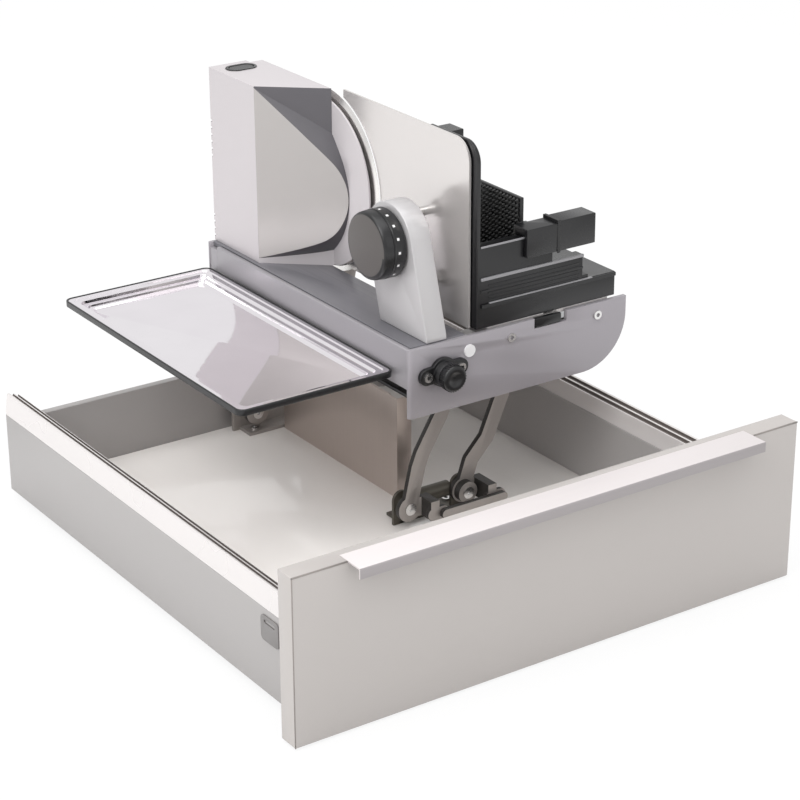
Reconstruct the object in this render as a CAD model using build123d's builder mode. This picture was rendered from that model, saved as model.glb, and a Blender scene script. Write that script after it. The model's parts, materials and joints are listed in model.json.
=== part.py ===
from build123d import *
import math
import os

os.makedirs("parts", exist_ok=True)

# Millimetres. X to the right, Y from the front to the back, Z up.
# The origin is the middle of the footprint, on the ground under the runner flanges.

# Drawer
front_width = 497
front_height = 144
front_thick = 19.5
front_lift = 2
grip_width = 398
grip_reach = 16
grip_drop = 9
grip_sheet = 1.5
grip_seat = 12
box_width = 454
box_length = 509.5
wall_thick = 16.4
wall_sheet = 1.2
wall_height = 74.7
wall_lift = 7.3
wall_shelf = 12
bracket_block = 60
bracket_block_thick = 8
cover_width = 26
cover_height = 22
cover_drop = 5.5
cover_sheet = 1.2
cover_setback = 48
cover_slot = 16
cap_height = 20
cap_wall = 1.4
cap_fall = 5.5
floor_thick = 8
floor_lift = 7
panel_gap = 0.2
rear_height = 62.5
screw_r = 2.0
seat_gap = 0.3

# Runners
runner_sheet = 1.5
runner_gap = 0.4
runner_length = 500
runner_height = 34
runner_lift = 8
runner_setback = 2.5
middle_setback = 30
flange_width = 22
runner_play = 1.2
runner_lip = 6
cabinet_hole_r = 2.25
hole_grid = 32
hole_margin = 20

# Divider plate
divider_x = 44
divider_sheet = 1.5
divider_height = 98
divider_setback = 109
divider_gap = 1.5
divider_flange = 15.5
divider_roll_r = 2

# Machine base
base_left = -17
base_width = 230
base_length = 333
base_height = 62
base_rear_gap = 3
plate_thick = 4
corner_r = 47
rail_height = 36
rail_thick = 4
block_length = 14
block_width = 12
beam_height = 32
beam_sheet = 2.5
beam_inset = 19
beam_end = 15

# Lifting arms
foot_pivot_height = 19
arm_length = 136.9
arm_lean = 21.9
arm_pitch = 62
arm_inset = 36
arm_thick = 5
arm_width = 15
arm_gap = 1.5
foot_hub_r = 12
top_hub_r = 8
pin_r = 3.5
pin_gap = 0.05
top_pivot_height = 14
crank_reach = 25
crank_drop = 3.4
crank_width = 12
crank_sheet = 4
link_height = 9
link_sheet = 5
bracket_sheet = 3
bracket_height = 33
bracket_margin = 9
bracket_relief = 7
bracket_foot = 22
bracket_corner_r = 8
bracket_extra = 22
crank_block = 18
crank_in = 9
crank_out = 21
hub_reach = 7.5
pin_head_r = 5.5
pin_head = 1.4
spacer_r = 4.8

# Upper unit
fold_inset = 61
fold_drop = 13
hinge_pin_r = 4
hinge_cap = 1.5
ear_thick = 5
ear_r = 8
deck_thick = 4
deck_rise = 1
deck_inset = 4.3
deck_width = 55
side_play = 0.3
head_height = 165
housing_inset = 8
housing_width = 52.5
housing_depth = 79
housing_wall = 2.5
nose_reach = 72
top_reach = 45
case_thick = 13.5
case_play = 4.5
guard_disc_r = 79
guard_disc_thick = 1.8
guard_disc_hole = 24
blade_r = 85
blade_thick = 1.6
blade_hub = 4
blade_hub_r = 20
blade_screw_count = 3
screw_circle_r = 13
blade_gap = 0.7
blade_back_to_axle = 104.5
blade_height = 76
blade_bevel = 5
axle_r = 6
gear_teeth = 56
pinion_teeth = 14
gear_module = 1
gear_thick = 3.5
gear_backlash = 0.2
tooth_root = 0.26
tooth_tip = 0.08
motor_r = 18
motor_length = 20
motor_rise = 6
motor_shaft_r = 2.5
motor_bore = 10
axle_seat = 3
hub_screw_depth = 3
stop_thick = 2
stop_inset = 10
stop_length = 189
stop_corner = 20
stop_arc_gap = 2
stop_travel = 14
leg_inset = 19.5
leg_thick = 20.5
leg_foot = 69
knob_inset = 58.5
knob_height = 74.5
leg_r = 34
rod_r = 4
rod_gap = 0.05
rod_boss_r = 8
rod_high = (19, 12)
rod_low = (9, -48)
rod_grip = 3.5
knob_r = 30
knob_thick = 23
knob_shaft_r = 5
knob_shaft_length = 16
switch_length = 24
switch_width = 13
switch_margin = 6
switch_inset = 23
switch_back = 19

# Table and carriage
guide_inset = 83
guide_width = 130
guide_thick = 4
guide_height = 10.7
guide_play = 1
groove_width = 10
groove_depth = 2
support_height = 5.7
carriage_inset = 75
carriage_width = 144
carriage_depth = 140
carriage_floor = 22
carriage_wall = 3
back_wall_thick = 10
low_wall_height = 23
low_wall_width = 109
high_wall_height = 51
high_wall_width = 76
guard_thick = 3.5
guard_gap = 1.5
guard_depth = 69
guard_height = 163
pusher_gap = 0.3
pusher_inset = 45
pusher_saddle = 34
pusher_wall = 4.7
pusher_reach = 39
pusher_skirt = 18
pusher_roof = 7
pusher_plate = 4
pusher_plate_inset = 7
pusher_plate_lift = 12
pusher_plate_depth = 62
pusher_plate_height = 68

# Tray and small parts of the base
tray_width = 151
tray_length = 310
tray_depth = 10
tray_sheet = 1
tray_flange = 5
tray_rim = 2
tray_gap = 2
tray_corner_r = 8
tray_rim_depth = 5
tray_drop = 23
tongue_length = 14
tongue_sheet = 3
tongue_setback = 30
screw_head_r = 4
screw_head_height = 1.8
latch_inset = 130
latch_length = 28
latch_travel = 6
latch_height = 8
lock_inset = 33
lock_height = 36
lock_pitch = 34
lock_barrel_r = 11
lock_barrel = 11
lock_flange = 4
lock_ear_width = 15
lock_knob_r = 12
lock_knob_thick = 9
lock_pin_r = 4
gland_r = 6
gland_height = 18
gland_inset = 30
gland_nut = 2
gland_flange = 1.5

# Places worked out from the sizes above
ground = 0.0
face_y = -(front_thick + box_length + grip_reach) / 2 + grip_reach
back_face = face_y + front_thick
box_rear = back_face + box_length
front_top = front_lift + front_height
wall_out = box_width / 2
wall_in = wall_out - wall_thick
wall_top = wall_lift + wall_height
cap_top = wall_top + cap_height
floor_top = floor_lift + floor_thick
rear_inner = box_rear - floor_thick
foot_z = floor_top + foot_pivot_height
foot_a_x = base_left + arm_inset
foot_b_x = foot_a_x + arm_pitch
arm_rise = arm_length * math.cos(math.radians(arm_lean))
arm_run = arm_length * math.sin(math.radians(arm_lean))
top_z = foot_z + arm_rise
base_bottom = top_z - top_pivot_height
base_top = base_bottom + base_height
base_right = base_left + base_width
base_back = rear_inner - base_rear_gap
base_front = base_back - base_length
front_inner = base_front + plate_thick
rear_plate_y = base_back - plate_thick
fold_x = base_left + fold_inset
fold_z = base_top - fold_drop
deck_top = base_top + deck_rise
deck_left = base_left + deck_inset
head_top = deck_top + head_height
bracket_y = front_inner + 64
rear_bracket_y = base_back - 6.5
arm_b_y = bracket_y - bracket_sheet - arm_gap
arm_a_y = arm_b_y - arm_thick - arm_gap
rear_b_y = rear_bracket_y - bracket_sheet - arm_gap
rear_a_y = rear_b_y - arm_thick - arm_gap
crank_y = arm_a_y - arm_thick - 11
link_y = crank_y - crank_sheet - arm_gap / 2
housing_left = base_left + housing_inset
housing_right = housing_left + housing_width
housing_rear = base_back - 1
housing_front = housing_rear - housing_depth
switch_x = housing_left + switch_inset
switch_y = housing_rear - switch_back
case_x = housing_right - case_thick
case_rear = rear_plate_y - case_play
disc_front = housing_right + guard_disc_thick
blade_back = disc_front + blade_gap
blade_front = blade_back + blade_hub
axle_y = base_back - blade_back_to_axle
axle_z = deck_top + blade_height
stop_y = base_front + stop_inset
stop_x = blade_front
stop_face = stop_x + stop_thick
leg_left = base_left + leg_inset
leg_right = leg_left + leg_thick
leg_y = base_front + 3
knob_y = base_front + knob_inset
knob_z = deck_top + knob_height
guide_x = base_left + guide_inset
guide_top = base_top + 1.7
guide_bottom = guide_top - guide_height
carriage_x = base_left + carriage_inset
carriage_y = base_front + 3
carriage_bottom = guide_top + seat_gap
carriage_top = carriage_bottom + carriage_floor
guard_x = stop_face + guard_gap
wall_x = guard_x + guard_thick
tray_right = base_left - tray_gap
tray_left = tray_right - tray_width
tray_y = base_front + 18
tray_top = base_top - tray_drop
tray_bottom = tray_top - tray_depth


def at_y(y):
    """Upright plane across the part, at y; a solid drawn on it grows towards the front."""
    return Plane.XZ.offset(-y)


def at_x(x):
    """Upright plane along the part, at x; a solid drawn on it grows to the right."""
    return Plane.YZ.offset(x)


def bar(start, end, width):
    """Flat bar with round ends, drawn in the open sketch between two of its points."""
    run = (end[0] - start[0], end[1] - start[1])
    middle = ((start[0] + end[0]) / 2, (start[1] + end[1]) / 2)
    with Locations(Location((middle[0], middle[1], 0), (0, 0, math.degrees(math.atan2(run[1], run[0]))))):
        SlotCenterToCenter(math.hypot(*run), width)


def on_arm(foot_x, along, side):
    """Point on an arm, by its distance from the foot pivot and its offset to the right."""
    lean = math.radians(arm_lean)
    x = foot_x + along * math.sin(lean) + side * math.cos(lean)
    z = foot_z + along * math.cos(lean) - side * math.sin(lean)
    return (x, z)


def save(piece, name):
    """Label a finished piece and write its file."""
    piece.part.label = name
    export_step(piece.part, f"parts/{name}.step")


# Heights and widths of the nested runner channels
runner_in = wall_in + wall_sheet + runner_play
runner_out = wall_out - wall_sheet
runner_top = runner_lift + runner_height
lip_end = runner_in + runner_lip
middle_in = runner_in + runner_sheet + runner_gap
middle_out = middle_in + runner_lip + 1
middle_low = runner_lift + runner_sheet + runner_gap
middle_top = runner_top - runner_sheet - runner_gap
inner_low = middle_low + runner_sheet + runner_gap
inner_top = middle_top - runner_sheet - runner_gap
inner_in = middle_in + runner_sheet + runner_gap
runner_front = back_face + runner_setback
runner_rear = runner_front + runner_length
runner_mid = runner_front + runner_length / 2
middle_length = runner_length - 2 * middle_setback
cabinet_pitch = hole_grid * math.floor((runner_length / 2 - hole_margin) / hole_grid)

# Cabinet runners: a channel on a flange that is screwed down through its holes
with BuildPart() as cabinet_runners:
    for sign in (-1, 1):
        with BuildSketch(at_y(runner_rear)):
            with BuildLine():
                Polyline(
                    (sign * (runner_in + runner_sheet - flange_width), ground),
                    (sign * (runner_in + runner_sheet), ground),
                    (sign * (runner_in + runner_sheet), runner_lift),
                    (sign * lip_end, runner_lift),
                    (sign * lip_end, runner_lift + runner_sheet),
                    (sign * (runner_in + runner_sheet), runner_lift + runner_sheet),
                    (sign * (runner_in + runner_sheet), runner_top - runner_sheet),
                    (sign * lip_end, runner_top - runner_sheet),
                    (sign * lip_end, runner_top),
                    (sign * runner_in, runner_top),
                    (sign * runner_in, runner_sheet),
                    (sign * (runner_in + runner_sheet - flange_width), runner_sheet),
                    close=True,
                )
            make_face()
        extrude(amount=runner_length)
        with BuildSketch(Plane.XY.offset(ground)):
            with Locations((sign * (runner_in - flange_width / 2), runner_mid)):
                with GridLocations(0, cabinet_pitch, 1, 3):
                    Circle(cabinet_hole_r)
        extrude(amount=runner_sheet, mode=Mode.SUBTRACT)
save(cabinet_runners, "cabinet_runners")

with BuildPart() as middle_runners:
    for sign in (-1, 1):
        with BuildSketch(at_y(runner_rear - middle_setback)):
            with BuildLine():
                Polyline(
                    (sign * middle_in, middle_low),
                    (sign * middle_out, middle_low),
                    (sign * middle_out, middle_low + runner_sheet),
                    (sign * (middle_in + runner_sheet), middle_low + runner_sheet),
                    (sign * (middle_in + runner_sheet), middle_top - runner_sheet),
                    (sign * middle_out, middle_top - runner_sheet),
                    (sign * middle_out, middle_top),
                    (sign * middle_in, middle_top),
                    close=True,
                )
            make_face()
        extrude(amount=middle_length)
save(middle_runners, "middle_runners")

with BuildPart() as drawer_runners:
    for sign in (-1, 1):
        with BuildSketch(at_y(runner_rear)):
            with BuildLine():
                Polyline(
                    (sign * inner_in, inner_low),
                    (sign * runner_out, inner_low),
                    (sign * runner_out, inner_top),
                    (sign * inner_in, inner_top),
                    (sign * inner_in, inner_top - runner_sheet),
                    (sign * (runner_out - runner_sheet), inner_top - runner_sheet),
                    (sign * (runner_out - runner_sheet), inner_low + runner_sheet),
                    (sign * inner_in, inner_low + runner_sheet),
                    close=True,
                )
            make_face()
        extrude(amount=runner_length)
save(drawer_runners, "drawer_runners")

# Hollow side walls: outer sheet, top web and inner sheet with a shelf under the floor
for side, sign in (("left", -1), ("right", 1)):
    with BuildPart() as side_wall:
        with BuildSketch(at_y(box_rear)):
            with BuildLine():
                Polyline(
                    (sign * wall_out, wall_lift),
                    (sign * wall_out, wall_top),
                    (sign * wall_in, wall_top),
                    (sign * wall_in, floor_lift),
                    (sign * (wall_in - wall_shelf), floor_lift),
                    (sign * (wall_in - wall_shelf), floor_lift - wall_sheet),
                    (sign * (wall_in + wall_sheet), floor_lift - wall_sheet),
                    (sign * (wall_in + wall_sheet), wall_top - wall_sheet),
                    (sign * (wall_out - wall_sheet), wall_top - wall_sheet),
                    (sign * (wall_out - wall_sheet), wall_lift),
                    close=True,
                )
            make_face()
        extrude(amount=box_length)
    save(side_wall, f"side_wall_{side}")

# Rail caps: hollow sections on the walls, which fall inwards
with BuildPart() as side_rails:
    for sign in (-1, 1):
        with BuildSketch(at_y(box_rear)):
            with BuildLine():
                Polyline(
                    (sign * (wall_in + 1), wall_top),
                    (sign * (wall_in + 1), wall_top + 1.2),
                    (sign * (wall_in + 1.8), wall_top + 3),
                    (sign * (wall_in + 1.8), cap_top - cap_fall),
                    (sign * (wall_out - 4), cap_top),
                    (sign * (wall_out - 2.4), cap_top - 1),
                    (sign * wall_out, wall_top + 2),
                    (sign * wall_out, wall_top),
                    close=True,
                )
            make_face()
            offset(amount=-cap_wall, mode=Mode.SUBTRACT)
        extrude(amount=box_length)
save(side_rails, "side_rails")

# Front brackets inside the walls, against the outer sheets and the drawer front
bracket_low = runner_top + 6
bracket_high = wall_top - wall_sheet - seat_gap
with BuildPart() as front_brackets:
    for start in (-runner_out, runner_out - bracket_block_thick):
        with BuildSketch(at_x(start)):
            with Locations((back_face + bracket_block / 2, (bracket_low + bracket_high) / 2)):
                RectangleRounded(bracket_block, bracket_high - bracket_low, 3)
                SlotCenterToCenter(20, 9, mode=Mode.SUBTRACT)
        extrude(amount=bracket_block_thick)
save(front_brackets, "front_brackets")

# Small covers over the side adjustment, on the outer sheets
cover_y = back_face + cover_setback
with BuildPart() as side_covers:
    for start in (-wall_out - cover_sheet, wall_out):
        with BuildSketch(at_x(start)):
            with Locations((cover_y, wall_top - cover_drop - cover_height / 2)):
                RectangleRounded(cover_width, cover_height, 4)
            with Locations((cover_y, wall_top - cover_drop - 5)):
                RectangleRounded(cover_slot, 3, 1.4, mode=Mode.SUBTRACT)
        extrude(amount=cover_sheet)
save(side_covers, "side_covers")

# Drawer front, with a rebate for the grip strip and screw holes for the brackets
with BuildPart() as front_panel:
    with BuildSketch(at_y(back_face)):
        with Locations((0, front_lift + front_height / 2)):
            RectangleRounded(front_width, front_height, 0.8)
    extrude(amount=front_thick)
    with Locations((0, face_y + grip_seat / 2, front_top - grip_sheet / 2)):
        Box(grip_width, grip_seat, grip_sheet, mode=Mode.SUBTRACT)
save(front_panel, "front_panel")

# Bent strip along the top of the front: seat, lip and folded-down edge
with BuildPart() as grip_strip:
    with BuildSketch(at_x(-grip_width / 2)):
        with BuildLine():
            Polyline(
                (face_y + grip_seat, front_top - grip_sheet),
                (face_y + grip_seat, front_top),
                (face_y - grip_reach, front_top),
                (face_y - grip_reach, front_top - grip_drop),
                (face_y - grip_reach + grip_sheet, front_top - grip_drop),
                (face_y - grip_reach + grip_sheet, front_top - grip_sheet),
                close=True,
            )
        make_face()
    extrude(amount=grip_width)
    fillet(grip_strip.edges().filter_by(Axis.X).group_by(Axis.Y)[0].sort_by(Axis.Z)[-1], grip_sheet)
save(grip_strip, "grip_strip")

panel_width = 2 * (wall_in - panel_gap)
with BuildPart() as floor_panel:
    with BuildSketch(Plane.XY.offset(floor_lift)):
        with Locations((0, (back_face + rear_inner) / 2)):
            Rectangle(panel_width, rear_inner - back_face)
    extrude(amount=floor_thick)
save(floor_panel, "floor_panel")

with BuildPart() as rear_panel:
    with BuildSketch(at_y(box_rear)):
        with Locations((0, floor_lift + (floor_thick + rear_height) / 2)):
            Rectangle(panel_width, floor_thick + rear_height)
    extrude(amount=floor_thick)
save(rear_panel, "rear_panel")

# Divider plate: upright sheet with a front flange, a foot flange and a rolled top edge
divider_y = base_front + divider_setback
divider_length = rear_bracket_y - bracket_foot - divider_gap - divider_y
divider_top = floor_top + divider_height
with BuildPart() as divider_plate:
    with BuildSketch(Plane.XY.offset(floor_top)):
        with BuildLine():
            Polyline(
                (divider_x, divider_y),
                (divider_x + divider_flange, divider_y),
                (divider_x + divider_flange, divider_y + divider_sheet),
                (divider_x + divider_sheet, divider_y + divider_sheet),
                (divider_x + divider_sheet, divider_y + divider_length),
                (divider_x, divider_y + divider_length),
                close=True,
            )
        make_face()
    extrude(amount=divider_height)
    with BuildSketch(Plane.XY.offset(floor_top)):
        with Locations((divider_x + divider_flange / 2, divider_y + divider_length / 2)):
            Rectangle(divider_flange, divider_length)
    extrude(amount=divider_sheet)
    with BuildSketch(at_y(divider_y + divider_length)):
        with Locations((divider_x + divider_roll_r, divider_top - divider_roll_r)):
            Circle(divider_roll_r)
            Circle(divider_roll_r / 2, mode=Mode.SUBTRACT)
    extrude(amount=divider_length - divider_flange)
save(divider_plate, "divider_plate")

# Foot brackets on the drawer floor, each an upright plate with a screwed foot flange
foot_mid = (foot_a_x + foot_b_x) / 2
bracket_width = arm_pitch + 2 * bracket_margin
bracket_specs = (
    ("front_foot_bracket", bracket_y, bracket_width, foot_mid, 1),
    ("rear_foot_bracket", rear_bracket_y, bracket_width + bracket_extra, foot_mid, -1),
)
for name, y, width, middle_x, way in bracket_specs:
    with BuildPart() as foot_bracket:
        with BuildSketch(at_y(y)):
            with Locations((middle_x, floor_top + bracket_height / 2)):
                RectangleRounded(width, bracket_height, bracket_corner_r)
            with Locations((middle_x, floor_top + bracket_height / 4)):
                Rectangle(width, bracket_height / 2)
            with Locations((foot_a_x, foot_z), (foot_b_x, foot_z)):
                Circle(pin_r + pin_gap, mode=Mode.SUBTRACT)
        extrude(amount=bracket_sheet)
        foot_start = y if way > 0 else y - bracket_sheet
        with BuildSketch(Plane.XY.offset(floor_top)):
            with Locations((middle_x, y - bracket_sheet / 2 + (bracket_foot - bracket_sheet) / 2 * way)):
                Rectangle(width - 2 * bracket_relief, bracket_foot)
        extrude(amount=bracket_sheet)
        with Locations(
            (middle_x - width / 3, foot_start + way * bracket_foot / 2, floor_top + bracket_sheet),
            (middle_x + width / 3, foot_start + way * bracket_foot / 2, floor_top + bracket_sheet),
        ):
            Hole(screw_r + seat_gap, depth=bracket_sheet)
    save(foot_bracket, name)

# Floor screws through the foot flanges
with BuildPart() as foot_screws:
    for name, y, width, middle_x, way in bracket_specs:
        foot_start = y if way > 0 else y - bracket_sheet
        head_y = foot_start + way * bracket_foot / 2
        for x in (middle_x - width / 3, middle_x + width / 3):
            with BuildSketch(Plane.XY.offset(floor_top)):
                with Locations((x, head_y)):
                    Circle(screw_r)
            extrude(amount=bracket_sheet)
            with BuildSketch(Plane.XY.offset(floor_top + bracket_sheet)):
                with Locations((x, head_y)):
                    Circle(screw_r * 2)
                    RegularPolygon(screw_r, 6, mode=Mode.SUBTRACT)
            extrude(amount=screw_r * 0.8)
save(foot_screws, "foot_screws")

# Lifting arms, front and rear pairs, bent so that B clears A's pivot when folded
arm_a_bends = ((39, -6), (52, -6), (88, 0))
arm_b_bends = ((28, -1.5), (51, 7.5), (92, 8.5))
arm_specs = (
    ("front_arm_a", foot_a_x, arm_a_y, arm_a_bends, True, 0),
    ("front_arm_b", foot_b_x, arm_b_y, arm_b_bends, True, hub_reach),
    ("rear_arm_a", foot_a_x, rear_a_y, arm_a_bends, False, 0),
    ("rear_arm_b", foot_b_x, rear_b_y, arm_b_bends, False, 0),
)
for name, foot_x, y, bends, cranked, reach in arm_specs:
    route = [(foot_x, foot_z)]
    for along, side in bends:
        route.append(on_arm(foot_x, along, side))
    route.append(on_arm(foot_x, arm_length, 0))
    crank_end = (foot_x + crank_reach, foot_z - crank_drop)
    with BuildPart() as arm:
        with BuildSketch(at_y(y)):
            for start, end in zip(route[:-1], route[1:]):
                bar(start, end, arm_width)
            with Locations(route[0]):
                Circle(foot_hub_r)
            with Locations(route[-1]):
                Circle(top_hub_r)
            if cranked:
                with Locations((foot_x + crank_out / 2, foot_z)):
                    Rectangle(crank_out, crank_block)
        extrude(amount=arm_thick)
        if reach > 0:
            with BuildSketch(at_y(y - arm_thick)):
                with Locations(route[0]):
                    Circle(foot_hub_r - 2)
            extrude(amount=reach)
        if cranked:
            with BuildSketch(at_y(y)):
                with Locations((foot_x + crank_out - (crank_out - crank_in) / 2 + arm_gap, foot_z)):
                    Rectangle(crank_out - crank_in - 2 * arm_gap, crank_block)
            extrude(amount=y - crank_y + crank_sheet)
            with BuildSketch(at_y(crank_y)):
                bar((foot_x + crank_in + 6, foot_z - crank_drop), crank_end, crank_width)
            extrude(amount=crank_sheet)
        with BuildSketch(at_y(y)):
            with Locations(route[0], route[-1]):
                Circle(pin_r + pin_gap)
            if cranked:
                with Locations(crank_end):
                    Circle(pin_r + pin_gap)
        extrude(amount=bracket_y - link_y, mode=Mode.SUBTRACT)
    save(arm, name)

# Link bar between the two cranks, with its two pins
link_start = (foot_a_x + crank_reach, foot_z - crank_drop)
link_end = (foot_b_x + crank_reach, foot_z - crank_drop)
with BuildPart() as front_link:
    with BuildSketch(at_y(link_y)):
        bar(link_start, link_end, link_height)
    extrude(amount=link_sheet)
    with BuildSketch(at_y(crank_y)):
        with Locations(link_start, link_end):
            Circle(pin_r)
    extrude(amount=crank_y - link_y)
save(front_link, "front_link")

# Foot pins: through the bracket, a shoulder up to arm A, and a flat head in front
with BuildPart() as foot_pins:
    for x, y, front in (
        (foot_a_x, bracket_y, arm_a_y - arm_thick),
        (foot_b_x, bracket_y, arm_b_y - arm_thick - hub_reach),
        (foot_a_x, rear_bracket_y, rear_a_y - arm_thick),
        (foot_b_x, rear_bracket_y, rear_b_y - arm_thick),
    ):
        with BuildSketch(at_y(y)):
            with Locations((x, foot_z)):
                Circle(pin_r)
        extrude(amount=y - front + pin_gap)
        with BuildSketch(at_y(front - pin_gap)):
            with Locations((x, foot_z)):
                Circle(pin_head_r)
                Circle(pin_r / 2, mode=Mode.SUBTRACT)
        extrude(amount=pin_head)
        if x == foot_a_x:
            with BuildSketch(at_y(y - bracket_sheet)):
                with Locations((x, foot_z)):
                    Circle(spacer_r)
                    Circle(pin_r, mode=Mode.SUBTRACT)
            extrude(amount=2 * arm_gap + arm_thick - pin_gap)
save(foot_pins, "foot_pins")

# Machine base: side plates with a big lower right corner, on both ends
top_a_x = foot_a_x + arm_run
top_b_x = foot_b_x + arm_run
screw_z = base_top - 11
screw_x = (base_left + 104.7, base_left + 197.8)
lock_x = base_left + lock_inset
lock_z = base_bottom + lock_height
ear_points = ((lock_x - lock_pitch / 2, lock_z), (lock_x + lock_pitch / 2, lock_z + 2))
latch_x = base_left + latch_inset
gland_x = base_right - gland_inset
for name, y in (("front_side_plate", front_inner), ("rear_side_plate", base_back)):
    with BuildPart() as side_plate:
        with BuildSketch(at_y(y)) as outline:
            with Locations((base_left + base_width / 2, base_bottom + base_height / 2)):
                Rectangle(base_width, base_height)
            low_right = outline.vertices().group_by(Axis.X)[-1].sort_by(Axis.Y)[0]
            fillet(low_right, corner_r)
        extrude(amount=plate_thick)
        with BuildSketch(at_y(y)):
            with Locations((fold_x, fold_z)):
                Circle(hinge_pin_r)
            if name == "front_side_plate":
                with Locations((lock_x, lock_z)):
                    Circle(lock_pin_r + pin_gap)
                with Locations((latch_x + (latch_length + latch_travel) / 2, base_top)):
                    Rectangle(latch_length + latch_travel + 2 * seat_gap, 2 * (latch_height + 1))
            else:
                with Locations((gland_x, base_bottom + gland_height)):
                    Circle(gland_r)
        extrude(amount=plate_thick, mode=Mode.SUBTRACT)
        left_edges = side_plate.edges().filter_by(Axis.Z).group_by(Axis.X)[0].sort_by(Axis.Y)
        outer_edge = left_edges[0] if name == "front_side_plate" else left_edges[-1]
        fillet(outer_edge, plate_thick - 0.5)
    save(side_plate, name)

# Left rail, which ends in a black block at the rear
rail_length = rear_plate_y - front_inner - block_length
with BuildPart() as left_rail:
    with Locations(
        (base_left + rail_thick / 2, front_inner + rail_length / 2, base_top - rail_height / 2),
    ):
        Box(rail_thick, rail_length, rail_height)
    fillet(left_rail.edges().filter_by(Axis.Y).group_by(Axis.X)[0].group_by(Axis.Z)[-1], 1.5)
save(left_rail, "left_rail")

with BuildPart() as rail_block:
    with Locations((
        base_left + 0.5 + block_width / 2,
        rear_plate_y - block_length / 2,
        base_top - deck_thick - (rail_height - deck_thick) / 2,
    )):
        Box(block_width, block_length, rail_height - deck_thick)
save(rail_block, "rail_block")

# Shelf under the rail, which carries the tray's tongue
tongue_z = base_top - rail_height - 1
shelf_top = tongue_z - tongue_sheet - seat_gap
with BuildPart() as tray_shelf:
    with BuildSketch(Plane.XY.offset(shelf_top - tongue_sheet)):
        with Locations((base_left + tongue_length / 2 + 2, (front_inner + rear_plate_y) / 2)):
            Rectangle(tongue_length + 4, rear_plate_y - front_inner)
    extrude(amount=tongue_sheet)
save(tray_shelf, "tray_shelf")

# Cross beams: a web that carries the upper pivots, under a flange that spans to the plate
beam_top = base_bottom + beam_height + 4
web_left = top_a_x - beam_end
web_right = top_b_x + beam_end
beam_specs = (
    ("front_cross_beam", bracket_y, front_inner, bracket_y),
    ("rear_cross_beam", rear_bracket_y, rear_a_y - arm_thick, rear_plate_y),
)
for name, web_y, near_y, far_y in beam_specs:
    with BuildPart() as cross_beam:
        with BuildSketch(at_y(web_y)):
            with Locations(((web_left + web_right) / 2, beam_top - beam_height / 2)):
                Rectangle(web_right - web_left, beam_height)
            with Locations((top_a_x, top_z), (top_b_x, top_z)):
                Circle(pin_r, mode=Mode.SUBTRACT)
        extrude(amount=bracket_sheet)
        with Locations((base_left + base_width / 2 - 4, (near_y + far_y) / 2, beam_top - beam_sheet / 2)):
            Box(base_width - 2 * beam_inset, far_y - near_y, beam_sheet)
    save(cross_beam, name)

# Upper pins, riveted into the webs
with BuildPart() as top_pins:
    for x, y, front in (
        (top_a_x, bracket_y, arm_a_y - arm_thick),
        (top_b_x, bracket_y, arm_b_y - arm_thick),
        (top_a_x, rear_bracket_y, rear_a_y - arm_thick),
        (top_b_x, rear_bracket_y, rear_b_y - arm_thick),
    ):
        with BuildSketch(at_y(y)):
            with Locations((x, top_z)):
                Circle(pin_r)
        extrude(amount=y - front)
        if x == top_a_x:
            with BuildSketch(at_y(front - pin_gap)):
                with Locations((x, top_z)):
                    Circle(pin_head_r)
            extrude(amount=pin_head)
            with BuildSketch(at_y(front)):
                with Locations((x, top_z)):
                    Circle(pin_r)
            extrude(amount=pin_gap)
            with BuildSketch(at_y(y - bracket_sheet)):
                with Locations((x, top_z)):
                    Circle(spacer_r)
                    Circle(pin_r, mode=Mode.SUBTRACT)
            extrude(amount=2 * arm_gap + arm_thick - pin_gap)
save(top_pins, "top_pins")

# Supports for the table guide, inside the two plates
support_top = guide_bottom - seat_gap
with BuildPart() as table_supports:
    for y in (front_inner + 2, rear_plate_y - 2):
        with Locations((guide_x + guide_width / 2, y, support_top - support_height / 2)):
            Box(guide_width, 4, support_height)
save(table_supports, "table_supports")

# Screw heads on the two plates
with BuildPart() as base_screws:
    for y, points in (
        (base_front, [(x, screw_z) for x in screw_x]),
        (base_front - lock_flange, list(ear_points)),
        (base_back + screw_head_height, [(x, screw_z) for x in screw_x]),
    ):
        with BuildSketch(at_y(y)):
            with Locations(*points):
                Circle(screw_head_r)
                RegularPolygon(screw_head_r / 2, 6, mode=Mode.SUBTRACT)
        extrude(amount=screw_head_height)
save(base_screws, "base_screws")

# Fold pins: a cap outside each plate and a pin into the ear of the deck
with BuildPart() as head_hinge_pins:
    pin_end = plate_thick + side_play + ear_thick
    for y, way in ((base_front, 1), (base_back, -1)):
        cap_y = y if way > 0 else y + hinge_cap
        with BuildSketch(at_y(cap_y)):
            with Locations((fold_x, fold_z)):
                Circle(hinge_pin_r + hinge_cap)
        extrude(amount=hinge_cap)
        with BuildSketch(at_y(y + pin_end if way > 0 else y)):
            with Locations((fold_x, fold_z)):
                Circle(hinge_pin_r)
        extrude(amount=pin_end)
save(head_hinge_pins, "head_hinge_pins")

# Lock on the front plate: body with two ears, a barrel and a pull knob on a pin
with BuildPart() as lock_housing:
    with BuildSketch(at_y(base_front)):
        bar(*ear_points, lock_ear_width)
        with Locations((lock_x, lock_z + 1)):
            Circle(lock_barrel_r + 2)
        with Locations((lock_x, lock_z)):
            Circle(lock_pin_r + pin_gap, mode=Mode.SUBTRACT)
    extrude(amount=lock_flange)
    with BuildSketch(at_y(base_front - lock_flange)):
        with Locations((lock_x, lock_z)):
            Circle(lock_barrel_r)
            Circle(lock_pin_r + pin_gap, mode=Mode.SUBTRACT)
    extrude(amount=lock_barrel - lock_flange)
save(lock_housing, "lock_housing")

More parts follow.
